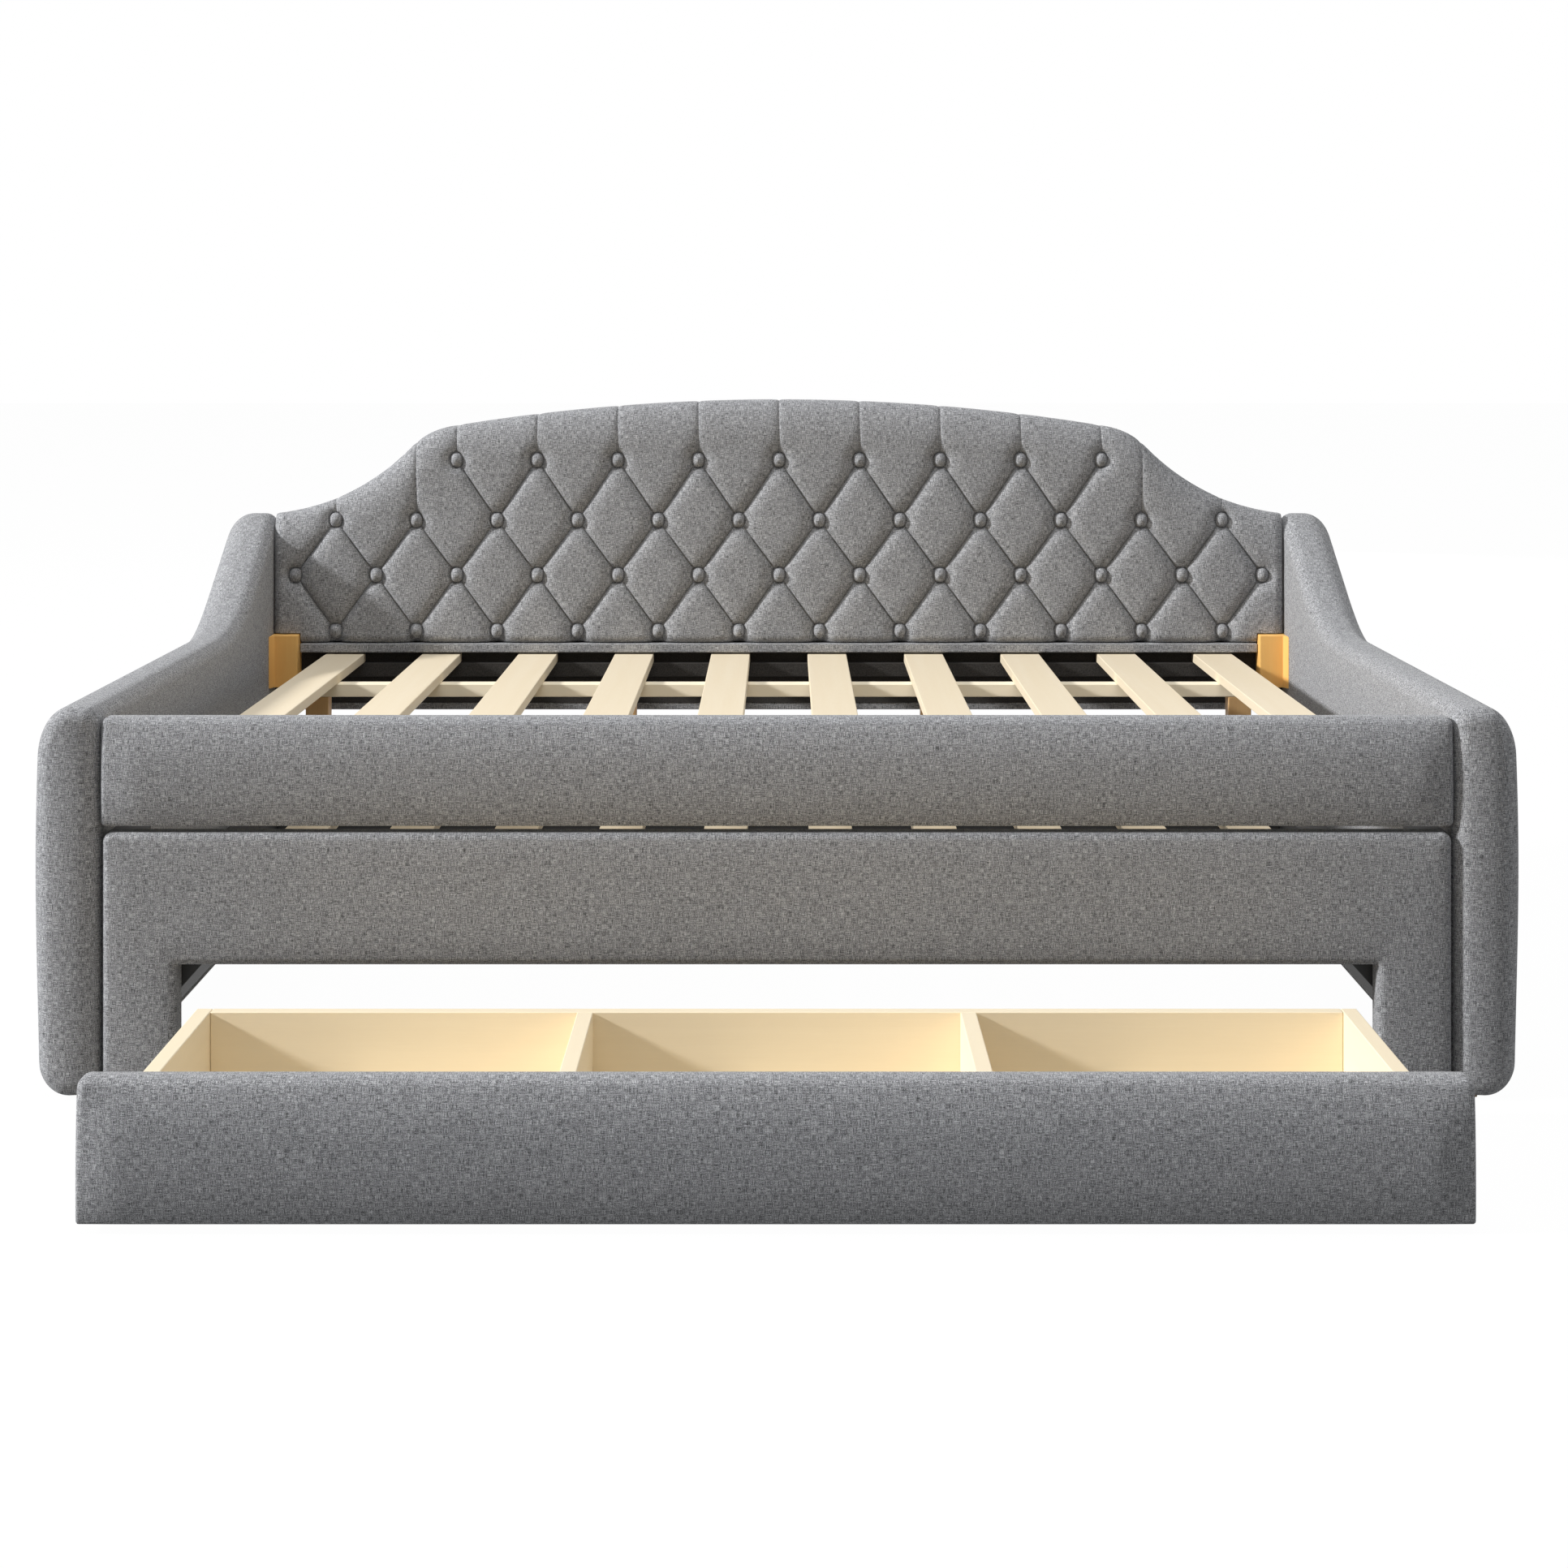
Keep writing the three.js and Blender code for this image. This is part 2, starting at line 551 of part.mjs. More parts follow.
function addCornerBlocks() {
  const inner = FIXED_HALF - BLOCK_WIDTH;
  const front = blockBack - BLOCK_DEPTH;
  const plan = new THREE.Shape();
  plan.moveTo(inner, front).lineTo(FIXED_HALF - BLOCK_FLARE_WIDTH, front);
  plan.lineTo(FIXED_HALF, front - BLOCK_FLARE).lineTo(FIXED_HALF, blockBack).lineTo(inner, blockBack);
  plan.closePath();
  const block = new THREE.ExtrudeGeometry(plan, { depth: BLOCK_HEIGHT, bevelEnabled: false });
  block.translate(0, 0, blockTop - BLOCK_HEIGHT);
  addPiece("right_corner_block", "block_wood", block);
  addPiece("left_corner_block", "block_wood", mirrored(block));
}

// ---------- Padded fronts ----------
// A rectangle with round corners, or an arch where it has an opening at its foot.
function frontOutline(half, low, high, corner, opening) {
  const shape = new THREE.Shape();
  const turn = Math.PI / 2;
  shape.moveTo(half, low + corner);
  shape.absarc(half - corner, high - corner, corner, 0, turn);
  shape.absarc(-half + corner, high - corner, corner, turn, 2 * turn);
  shape.absarc(-half + corner, low + corner, corner, 2 * turn, 3 * turn);
  if (opening) {
    const { half: gap, top, corner: round } = opening;
    shape.absarc(-gap - corner, low + corner, corner, 3 * turn, 4 * turn);
    shape.absarc(-gap + round, top - round, round, 2 * turn, turn, true);
    shape.absarc(gap - round, top - round, round, turn, 0, true);
    shape.absarc(gap + corner, low + corner, corner, 2 * turn, 3 * turn);
  }
  shape.absarc(half - corner, low + corner, corner, 3 * turn, 4 * turn);
  return shape;
}

// A padded cover, round at its front edges and hollow behind for its board.
function paddedCover(outline, pocket, half, thickness) {
  const pad = extrudeAlongY(outline, 0, thickness + FRONT_RADIUS, {
    bevelThickness: FRONT_RADIUS,
    bevelSize: FRONT_RADIUS,
    bevelOffset: -FRONT_RADIUS,
    bevelSegments: 2,
    curveSegments: 2,
  });
  const hollow = extrudeAlongY(pocket, thickness - FRONT_BOARD - SEAT, thickness + 2 * FRONT_RADIUS);
  const behind = slab(-half, half, thickness, thickness + 2 * FRONT_RADIUS, 0, RAIL_TOP + FRONT_RADIUS);
  return cut(pad, hollow, behind);
}

function addFrontRail() {
  const outline = frontOutline(FIXED_HALF, RAIL_BOTTOM, RAIL_TOP, FRONT_CORNER);
  const [low, high] = [RAIL_BOTTOM + FRONT_WRAP, RAIL_TOP - FRONT_WRAP];
  const pocket = rectangle(-HALF_LENGTH, HALF_LENGTH, low - SEAT, high + SEAT);
  const board = rectangle(-FIXED_HALF, FIXED_HALF, low, high);
  addPiece("front_rail_cover", "upholstery", paddedCover(outline, pocket, HALF_LENGTH, RAIL_THICKNESS));
  addPiece("front_rail_board", "core_wood",
    extrudeAlongY(board, RAIL_THICKNESS - FRONT_BOARD, RAIL_THICKNESS));
}

// ---------- Slats and what carries them ----------
// Middle of slat i in a row whose outermost slats are centred at +-reach.
const slatX = (i, reach) => (i / (SLAT_COUNT - 1) * 2 - 1) * reach;
const slatReach = HALF_LENGTH - SLAT_MARGIN;
const slatPitch = (2 * slatReach) / (SLAT_COUNT - 1);
const ledgerHalf = slatReach + SLAT_WIDTH / 2 + LEDGER_PAST_SLATS;
const ledgerTop = SLAT_BOTTOM - SEAT;

function addLedgers() {
  const front = RAIL_THICKNESS + SEAT;
  addPiece("front_ledger", "core_wood",
    slab(-ledgerHalf, ledgerHalf, front, front + LEDGER_DEPTH, ledgerTop - FRONT_LEDGER_HEIGHT, ledgerTop));
  addPiece("rear_ledger", "lining",
    slab(-ledgerHalf, ledgerHalf, blockBack - LEDGER_DEPTH, blockBack,
      ledgerTop - REAR_LEDGER_HEIGHT, ledgerTop));
}

// A beam along the bed on four legs, as long as the legs reach.
function addSupportBeam() {
  const bottom = ledgerTop - BEAM_HEIGHT;
  const back = BEAM_FRONT + BEAM_DEPTH;
  const half = LEG_STATIONS.at(-1) * slatPitch + LEG_WIDTH / 2;
  addPiece("support_beam", "slat_wood", slab(-half, half, BEAM_FRONT, back, bottom, ledgerTop));
  LEG_STATIONS.forEach((station, i) => {
    const x = station * slatPitch;
    const leg = slab(x - LEG_WIDTH / 2, x + LEG_WIDTH / 2, BEAM_FRONT, back, 0, bottom - SEAT);
    addPiece(`beam_leg_${i + 1}`, "leg_wood", leg);
  });
}

function addSlats() {
  for (let i = 0; i < SLAT_COUNT; i++) {
    const x = slatX(i, slatReach);
    const slat = slab(x - SLAT_WIDTH / 2, x + SLAT_WIDTH / 2, RAIL_THICKNESS + SEAT, blockBack,
      SLAT_BOTTOM, SLAT_TOP);
    addPiece(`slat_${i + 1}`, "slat_wood", slat);
  }
}

// ---------- Casters ----------
// A fixed fork: top plate, two cheeks with round ends, and the axle pin through them.
function fork(wheelRadius, height) {
  const cheekInner = WHEEL_WIDTH / 2 + WHEEL_SIDE_GAP;
  const cheekOuter = cheekInner + FORK_SHEET;
  const shape = new THREE.Shape();
  shape.moveTo(-CHEEK_SPREAD, height - FORK_SHEET / 2).lineTo(-FORK_SKIRT, wheelRadius);
  shape.absarc(0, wheelRadius, FORK_SKIRT, Math.PI, 2 * Math.PI);
  shape.lineTo(CHEEK_SPREAD, height - FORK_SHEET / 2).closePath();
  const cheek = (x) => extrudeAlongX(shape, x, x + FORK_SHEET, { curveSegments: 5 });
  const plate = slab(-PLATE_WIDTH / 2, PLATE_WIDTH / 2, -PLATE_LENGTH / 2, PLATE_LENGTH / 2,
    height - FORK_SHEET, height);
  const pin = new THREE.CylinderGeometry(AXLE_RADIUS, AXLE_RADIUS, 2 * (cheekOuter + PIN_PROUD), 10);
  pin.rotateZ(Math.PI / 2).translate(0, 0, wheelRadius);
  return join(plate, cheek(cheekInner), cheek(-cheekOuter), pin);
}

// A wheel turned about its axle: bored hub, recessed web on both sides, tread with broken edges.
function wheel(radius) {
  const half = WHEEL_WIDTH / 2;
  const bore = AXLE_RADIUS + AXLE_GAP;
  const rim = radius - 2 * WHEEL_EDGE;
  const side = [
    [bore, half],
    [WHEEL_HUB_RADIUS, half],
    [WHEEL_HUB_RADIUS, half - WHEEL_RECESS],
    [rim, half - WHEEL_RECESS],
    [rim, half],
    [radius - WHEEL_EDGE, half],
    [radius, half - WHEEL_EDGE],
  ];
  const other = side.map(([r, a]) => [r, -a]).reverse();
  const profile = [...side, ...other, side[0]].map(([r, a]) => new THREE.Vector2(r, a));
  const turned = new THREE.LatheGeometry(profile.reverse(), WHEEL_SEGMENTS);
  return turned.rotateZ(Math.PI / 2).translate(0, 0, radius);
}

// Four casters under a frame, at x = +-half and at each y.
function addCasters(prefix, group, half, ys, wheelRadius, height) {
  ys.forEach((y, i) => {
    for (const side of [-1, 1]) {
      const name = `${prefix}_${i ? "rear" : "front"}_${side < 0 ? "left" : "right"}`;
      const mount = addPiece(`${name}_fork`, "caster_steel", fork(wheelRadius, height), group);
      const tyre = addPiece(`${name}_wheel`, "caster_tread", wheel(wheelRadius), group);
      mount.position.set(side * half, y, 0);
      tyre.position.set(side * half, y, 0);
    }
  });
}

// ---------- Trundle ----------
const trundleHalf = HALF_LENGTH - TRUNDLE_SIDE_GAP;
const trundleTop = RAIL_BOTTOM - RAIL_GAP;
const archHalf = trundleHalf - ARCH_LEG;
const trundleSideOuter = trundleHalf - TRUNDLE_SIDE_INSET;
const trundleSideInner = trundleSideOuter - TRUNDLE_SIDE_WIDTH;
const trundleInnerBack = TRUNDLE_DEPTH - TRUNDLE_BOARD;
const trundleLedgerBottom = ARCH_TOP + FRONT_WRAP + TRUNDLE_LEDGER_LIFT;
const trundleLedgerTop = trundleLedgerBottom + TRUNDLE_LEDGER_HEIGHT;
const trundleSlatTop = trundleLedgerTop + SEAT + SLAT_THICKNESS;
const trundleFixedHalf = trundleSideInner - SEAT;
const trundleBottom = TRUNDLE_CASTER_HEIGHT + SEAT;
const postInner = trundleHalf - BLOCK_WIDTH;
const postFront = FRONT_THICKNESS + SEAT;
const postBack = postFront + BLOCK_DEPTH;
const trundleCasters = [FRONT_THICKNESS + TRUNDLE_CASTER_INSET, TRUNDLE_DEPTH - TRUNDLE_CASTER_INSET];

// The padded front over its board, which carries a ledger and a post at each corner.
function addTrundleFront(group) {
  const arch = (grow) => ({ half: archHalf + grow, top: ARCH_TOP + grow, corner: ARCH_CORNER });
  const outline = frontOutline(trundleHalf, FLOOR_GAP, trundleTop, FRONT_CORNER, arch(0));
  const inset = (wrap) =>
    frontOutline(trundleHalf - wrap, FLOOR_GAP + wrap, trundleTop - wrap, ARCH_CORNER, arch(wrap));
  addPiece("trundle_front_cover", "upholstery",
    paddedCover(outline, inset(FRONT_WRAP - SEAT), trundleHalf, FRONT_THICKNESS), group);
  const board = extrudeAlongY(inset(FRONT_WRAP), FRONT_THICKNESS - FRONT_BOARD, FRONT_THICKNESS,
    { curveSegments: 2 });
  const ledger = slab(-trundleFixedHalf, trundleFixedHalf, FRONT_THICKNESS - THROUGH,
    FRONT_THICKNESS + LEDGER_DEPTH, trundleLedgerBottom, trundleLedgerTop);
  const post = join(
    slab(postInner, trundleHalf, postFront, postBack, trundleBottom, trundleTop - TRUNDLE_POST_DROP),
    slab(postInner, trundleHalf - FRONT_WRAP, FRONT_THICKNESS - THROUGH, postFront + THROUGH,
      trundleBottom, trundleTop - FRONT_WRAP - ARCH_CORNER),
  );
  addPiece("trundle_front_board", "black_paint", join(board, ledger, post, mirrored(post)), group);
}

// Side rails behind the posts, with a block over each caster, and a back board with its ledger.
function addTrundleFrame(group) {
  const front = postBack + SEAT;
  const rail = slab(trundleSideInner, trundleSideOuter, front, TRUNDLE_DEPTH,
    TRUNDLE_SIDE_BOTTOM, trundleSlatTop);
  const blocks = [
    [front, trundleCasters[0] + PLATE_LENGTH / 2],
    [trundleCasters[1] - PLATE_LENGTH / 2, TRUNDLE_DEPTH],
  ].map(([y0, y1]) => slab(trundleSideInner, trundleSideOuter, y0, y1,
    trundleBottom, TRUNDLE_SIDE_BOTTOM + THROUGH));
  const side = join(rail, ...blocks);
  addPiece("trundle_right_side", "black_paint", side, group);
  addPiece("trundle_left_side", "black_paint", mirrored(side), group);
  const ledge = trundleInnerBack - LEDGER_DEPTH;
  const section = new THREE.Shape();
  section.moveTo(ledge, trundleLedgerBottom).lineTo(TRUNDLE_DEPTH, trundleLedgerBottom);
  section.lineTo(TRUNDLE_DEPTH, trundleLedgerBottom + TRUNDLE_BACK_HEIGHT);
  section.lineTo(trundleInnerBack, trundleLedgerBottom + TRUNDLE_BACK_HEIGHT);
  section.lineTo(trundleInnerBack, trundleLedgerTop).lineTo(ledge, trundleLedgerTop).closePath();
  addPiece("trundle_back_board", "black_paint",
    extrudeAlongX(section, -trundleFixedHalf, trundleFixedHalf), group);
}

// Ten slats held at their spacing by two webbing straps, as they come rolled up.
function addTrundleSlats(group) {
  const top = trundleSlatTop;
  const [front, back] = [FRONT_THICKNESS + SEAT, trundleInnerBack - SEAT];
  const reach = trundleSideInner - TRUNDLE_SLAT_MARGIN;
  const pieces = [];
  for (let i = 0; i < SLAT_COUNT; i++) {
    const x = slatX(i, reach);
    pieces.push(slab(x - SLAT_WIDTH / 2, x + SLAT_WIDTH / 2, front, back, top - SLAT_THICKNESS, top));
  }
  for (const y of [front + STRAP_INSET, back - STRAP_INSET]) {
    pieces.push(slab(-reach, reach, y - STRAP_WIDTH / 2, y + STRAP_WIDTH / 2,
      top - STRAP_THICKNESS, top + STRAP_THICKNESS / 2));
  }
  addPiece("trundle_slat_roll", "slat_wood", join(...pieces), group);
}

// Triangles behind the arch's upper corners, which also stop the drawer front.
function addGussets(group) {
  const corner = archHalf + GUSSET_BEHIND_LEG;
  const top = trundleLedgerBottom - SEAT;
  const shape = new THREE.Shape();
  shape.moveTo(corner, top).lineTo(corner - GUSSET_WIDTH, top).lineTo(corner, top - GUSSET_HEIGHT).closePath();
  const front = FRONT_THICKNESS + SEAT;
  const gusset = extrudeAlongY(shape, front, front + GUSSET_THICKNESS);
  addPiece("right_gusset", "black_paint", gusset, group);
  addPiece("left_gusset", "black_paint", mirrored(gusset), group);
}

function addTrundle() {
  const trundle = new THREE.Group();
  bed.add(trundle);
  addTrundleFront(trundle);
  addTrundleFrame(trundle);
  addTrundleSlats(trundle);
  addGussets(trundle);
  const half = (trundleSideInner + trundleSideOuter) / 2;
  addCasters("trundle", trundle, half, trundleCasters, TRUNDLE_WHEEL_RADIUS, TRUNDLE_CASTER_HEIGHT);
}

// ---------- Drawer ----------
// Laid out closed, with its front in line with the trundle's, in a group that is moved out.
const drawerHalf = archHalf - ARCH_GAP;
const drawerTop = ARCH_TOP - ARCH_GAP;
const boxOuter = drawerHalf - DRAWER_FRONT_OVERLAP;
const boxInner = boxOuter - DRAWER_BOARD;
const boxFront = FRONT_THICKNESS + SEAT;
const boxInnerBack = DRAWER_DEPTH - DRAWER_BOARD;
const panelBottom = DRAWER_CASTER_HEIGHT + SEAT;
const panelTop = panelBottom + DRAWER_PANEL;

function addDrawerFront(group) {
  const outline = frontOutline(drawerHalf, FLOOR_GAP, drawerTop, FRONT_CORNER);
  const inset = (wrap) => rectangle(-drawerHalf + wrap, drawerHalf - wrap, FLOOR_GAP + wrap, drawerTop - wrap);
  addPiece("drawer_front_cover", "upholstery",
    paddedCover(outline, inset(FRONT_WRAP - SEAT), drawerHalf, FRONT_THICKNESS), group);
  addPiece("drawer_front_board", "drawer_wood",
    extrudeAlongY(inset(FRONT_WRAP), FRONT_THICKNESS - FRONT_BOARD, FRONT_THICKNESS), group);
}

function addDrawerBox(group) {
  const [grooveLow, grooveHigh] = [panelBottom - SEAT, panelTop + SEAT];
  const board = slab(boxInner, boxOuter, boxFront, DRAWER_DEPTH, DRAWER_BOX_BOTTOM, DRAWER_BOX_TOP);
  const groove = slab(boxInner - THROUGH, boxInner + DRAWER_GROOVE, boxFront - THROUGH,
    boxInnerBack + DRAWER_GROOVE, grooveLow, grooveHigh);
  const side = cut(board, groove);
  addPiece("drawer_right_side", "drawer_wood", side, group);
  addPiece("drawer_left_side", "drawer_wood", mirrored(side), group);
  const backHalf = boxInner - SEAT;
  const back = slab(-backHalf, backHalf, boxInnerBack, DRAWER_DEPTH, DRAWER_BOX_BOTTOM, DRAWER_BOX_TOP);
  const backGroove = slab(-boxInner, boxInner, boxInnerBack - THROUGH, boxInnerBack + DRAWER_GROOVE,
    grooveLow, grooveHigh);
  addPiece("drawer_back", "drawer_wood", cut(back, backGroove), group);
  const panelHalf = boxInner + DRAWER_GROOVE - SEAT;
  addPiece("drawer_bottom", "drawer_wood",
    slab(-panelHalf, panelHalf, boxFront, boxInnerBack + DRAWER_GROOVE - SEAT, panelBottom, panelTop), group);
}

function addDividers(group) {
  const clear = (2 * boxInner - (DRAWER_COMPARTMENTS - 1) * DRAWER_BOARD) / DRAWER_COMPARTMENTS;
  for (let i = 1; i < DRAWER_COMPARTMENTS; i++) {
    const x = -boxInner + i * clear + (i - 1) * DRAWER_BOARD;
    addPiece(`drawer_divider_${i}`, "drawer_wood",
      slab(x, x + DRAWER_BOARD, boxFront, boxInnerBack - SEAT, panelTop + SEAT, DRAWER_BOX_TOP), group);
  }
}

function addDrawer() {
  const drawer = new THREE.Group();
  drawer.position.y = -DRAWER_TRAVEL;
  bed.add(drawer);
  addDrawerFront(drawer);
  addDrawerBox(drawer);
  addDividers(drawer);
  const ys = [boxFront + DRAWER_CASTER_INSET, boxInnerBack - DRAWER_CASTER_INSET];
  addCasters("drawer", drawer, boxInner - DRAWER_CASTER_SIDE, ys, DRAWER_WHEEL_RADIUS, DRAWER_CASTER_HEIGHT);
}

addArms();
addBack();
addCornerBlocks();
addFrontRail();
addLedgers();
addSupportBeam();
addSlats();
addTrundle();
addDrawer();
bed.position.y = -MIDDLE_Y;

export default bed;
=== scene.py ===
"""Looks of a camel-back daybed with a roll-out trundle and a three-part rolling drawer.

Everything is in metres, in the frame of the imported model: +X to the right of someone who faces
the bed, +Y towards its back, +Z up.
"""
import json
from math import pi, radians

import bmesh
import bpy
import numpy as np
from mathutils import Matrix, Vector

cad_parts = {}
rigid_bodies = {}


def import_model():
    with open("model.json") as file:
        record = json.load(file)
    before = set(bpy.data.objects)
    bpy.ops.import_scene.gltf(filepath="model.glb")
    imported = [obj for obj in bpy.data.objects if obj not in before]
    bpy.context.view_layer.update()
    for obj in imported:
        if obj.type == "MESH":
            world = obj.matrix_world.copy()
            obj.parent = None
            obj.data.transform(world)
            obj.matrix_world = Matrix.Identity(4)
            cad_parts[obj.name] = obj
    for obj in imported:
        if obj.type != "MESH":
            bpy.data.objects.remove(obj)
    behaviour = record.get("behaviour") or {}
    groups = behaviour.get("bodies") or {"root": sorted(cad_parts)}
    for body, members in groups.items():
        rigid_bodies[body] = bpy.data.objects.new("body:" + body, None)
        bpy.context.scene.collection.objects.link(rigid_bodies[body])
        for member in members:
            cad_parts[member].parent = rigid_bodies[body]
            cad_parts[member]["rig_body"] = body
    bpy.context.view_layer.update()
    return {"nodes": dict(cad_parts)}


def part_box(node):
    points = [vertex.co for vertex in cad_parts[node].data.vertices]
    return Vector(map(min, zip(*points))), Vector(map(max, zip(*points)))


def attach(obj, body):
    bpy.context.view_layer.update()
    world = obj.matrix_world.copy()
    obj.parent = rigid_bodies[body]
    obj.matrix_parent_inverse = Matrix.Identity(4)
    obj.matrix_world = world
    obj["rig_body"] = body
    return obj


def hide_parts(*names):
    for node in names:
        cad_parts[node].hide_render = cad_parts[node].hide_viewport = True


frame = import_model()
MM = 0.001

# ---------- Camera ----------
CAMERA_PLACE = (0.010, -4.606, 1.096)
CAMERA_LENS = 67.2
CAMERA_SHIFT = -0.2888

# ---------- Arms ----------
ARM_LOW = 559 * MM  # level front part of an arm
ARM_HIGH = 745 * MM  # where an arm meets the back
SWOOP_ANGLE = radians(27.5)
SWOOP_RADIUS = 703 * MM
CREST_RADIUS = 126 * MM
CREST_LEVEL = 17 * MM
ARM_FOOT = 4 * MM
ARM_END_RADIUS = 22 * MM
ARM_OUTER_TOP = (54 * MM, 70 * MM)  # half axes of the round outer top corner
ARM_OUTER_CREST = (46 * MM, 44 * MM)  # the same behind the swoop
ARM_INNER_TOP = 25 * MM
ARM_INNER_FOOT = 10 * MM
ARM_OUTER_FOOT = 58 * MM
ARM_FULLNESS = 7 * MM  # how far the padding swells the outer side
ARM_FULLNESS_POWERS = (4, 1.3)  # how it gathers towards the outer side, and towards the foot
ARM_CROWN = 10 * MM  # how far it swells the front, between its inner and outer sides
ARM_CROWN_FADE = 48 * MM
ARM_DEEPEST = 0.44  # how far the ends step in, of the arm's thickness
ARM_FINEST = 1 * MM  # smallest radius of a section, and smallest step between sections
ARM_CORNER_STEPS = (14, 8, 5, 14)  # points of the outer top, inner top, inner foot and outer foot
ARM_SIDE_STEPS = (10, 16)  # points down the inner side and up the outer one
ARM_LENGTH_STEPS = (12, 26, 8, 14)  # sections of the level part, hollow, slope and crest
ARM_END_STEPS = (11, 6)  # sections of an end's round edge and of the flat inside it

# ---------- Camel back ----------
CROWN_RADIUS = 3889 * MM
SHOULDER_RADIUS = 130 * MM
SWEEP_RADIUS = 435 * MM
SHOULDER_ANGLE = radians(46)
SWEEP_END_ANGLE = radians(6.75)
PAD_BOTTOM = 501 * MM
PAD_PROUD = 28 * MM
BACK_PANEL = 25 * MM
BACK_TOP_PAD = 14 * MM
PAD_ROLL = (32 * MM, 76 * MM)  # depth and height of the rounding towards the top edge
PAD_REAR_RADIUS = 9 * MM
PAD_END = 20 * MM  # rounding where the pad meets an arm
PAD_LIP = (14 * MM, 15 * MM)  # depth and height of the rounding of the bottom edge
PAD_STEPS = 48  # columns of the mesh from one button to the next row's
PAD_ROWS = 215  # points up the level part of the face
PAD_ROLL_STEPS = 50
PAD_LIP_STEPS = 9
PAD_REAR_STEPS = 6
STRIP_PROUD = 29 * MM  # wrapped strip below the pad, in front of the back's rail
STRIP_BOTTOM = 483 * MM
STRIP_TOP = 500.4 * MM
STRIP_EASE = 2.5 * MM

# ---------- Button tufting ----------
TUFT_HALF = 77 * MM  # half the spacing of the buttons in a row
TUFT_HEIGHTS = [523 * MM, 630 * MM, 735 * MM, 850 * MM]
TUFT_LAST = [11, 12, 11, 8]  # outermost button of each row, in half spacings
FOLD_DEPTH = 21 * MM
FOLD_WIDTH = 10 * MM  # the distance at which a fold's pull has died away to a third
FOLD_REACH = 8  # how many widths away a fold is still counted
FOLD_SHARE = 0.62  # of the fold depth, in the middle of one fold
FOLD_BLUNT = 0.5 * MM
CREASE_DEPTH = 3.0 * MM
CREASE_WIDTH = 1.4 * MM
CREASE_ROUND_BUTTON = 1.1  # of the crease along a fold
SEAM_SHARE = 0.12  # of the fold depth, where a seam reaches the top edge
SEAM_NARROWING = 0.45  # how much narrower a seam is there
SEAM_FADE = 0.6  # how much fainter its crease is there
SEAM_NOTCH = 2.0 * MM
SEAM_NOTCH_WIDTH = 4 * MM
BUTTON_DIMPLE = 17 * MM
DIMPLE_REACH = 3  # how many of its radii away a dimple is still counted
BUTTON_HALF = (12.3 * MM, 14.4 * MM)
BUTTON_SQUARE = 2.5  # 2 is an ellipse, more is squarer
BUTTON_RISE = 18 * MM
BUTTON_SUNK = 3 * MM  # how far its base lies behind the crease
BUTTON_FLATNESS = 2.3  # 2 is a round dome, more is flatter on top
BUTTON_TOP = 0.02  # flat top, of the button's width
BUTTON_STEPS = (28, 10)  # points round it and up it
BLOCK_PRESS = 28 * MM  # how far a corner block presses the pad back
BLOCK_CREASE = (0.3 * MM, 1.5 * MM)  # from where to where the press dies away round a block

# ---------- Padded fronts ----------
FRONT_RADIUS = 11 * MM  # edges of the trundle's front
FRONT_CORNER = 14 * MM
SHARPEST = 0.4 * MM  # smallest radius of its corners, where its outline steps in
REAR_RADIUS = 6 * MM
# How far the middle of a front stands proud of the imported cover, its top and its bottom edge.
RAIL_CROWN = (5 * MM, 19 * MM, 13 * MM)
DRAWER_CROWN = (6 * MM, 21 * MM, 13 * MM)
CROWN_POWER = 2.4
RAIL_EDGES = (11 * MM, 6 * MM, 11 * MM, 7 * MM)  # radii of the top and bottom edges and corners
DRAWER_EDGES = (12 * MM, 4 * MM, 14 * MM, 4 * MM)
RAIL_SPAN = (0, 0, 0)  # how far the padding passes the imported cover, below, above and endwise
DRAWER_SPAN = (3 * MM, 0, 3 * MM)
END_CROWN = (14 * MM, 60 * MM)  # how far the ends fall back, and how far in the crown is whole
TRUNDLE_CROWN = (4 * MM, 45 * MM)
TRUNDLE_RISE = 3.5 * MM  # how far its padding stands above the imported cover
FRONT_WRAP = 11.7 * MM  # how far a cover wraps round the edges of its board
FRONT_POCKET = 18.3 * MM  # how deep the board lies in it
ARCH_CORNER = 4 * MM
ARCH_LEG = 107 * MM
ARCH_TOP = 192.5 * MM
EDGE_STEPS = 9  # points of a round front edge
REAR_STEPS = 5
RING_CORNER_STEPS = 7
TRUNDLE_CROWN_STEPS = 12
FACE_STEPS = 25  # points up the face of a crowned front
END_STEPS = 9  # sections of its ends
LENGTH_STEPS = 16  # sections between its ends

# ---------- Boards, metalwork and casters ----------
SEAT = 0.3 * MM  # clearance of a piece that is seated on another
BOARD_EASE = 1.6 * MM
METAL_EASE = 0.6 * MM
EASED_ANGLE = radians(35)  # edges that turn by more than this are eased
MERGE_ANGLE = radians(0.5)  # faces that turn by less than this are one
MERGE_DISTANCE = 0.02 * MM
SLAT_WIDTH = 74 * MM
SLAT_THICKNESS = 17 * MM
SLAT_COUNT = 10
STRAP_WIDTH = 25 * MM
STRAP_PLACES = [160 * MM, 838 * MM]  # middles of the straps, from the front ends of the slats
STRAP_SPAN = (0.3 * MM, 0.7 * MM)  # how far a strap reaches below and above the slats' tops
STRAP_EASE = 0.2 * MM
WHEEL_BORE = 4.4 * MM
WHEEL_HUB = 9 * MM
WHEEL_TREAD = 6 * MM  # thickness of the tread
WHEEL_RECESS = 3 * MM  # of the web between hub and tread
WHEEL_EDGE = 3 * MM
WHEEL_CHAMFER = 0.6 * MM
WHEEL_DRAFT = 0.4 * MM
WHEEL_STEPS = 48
WHEEL_EDGE_STEPS = 5

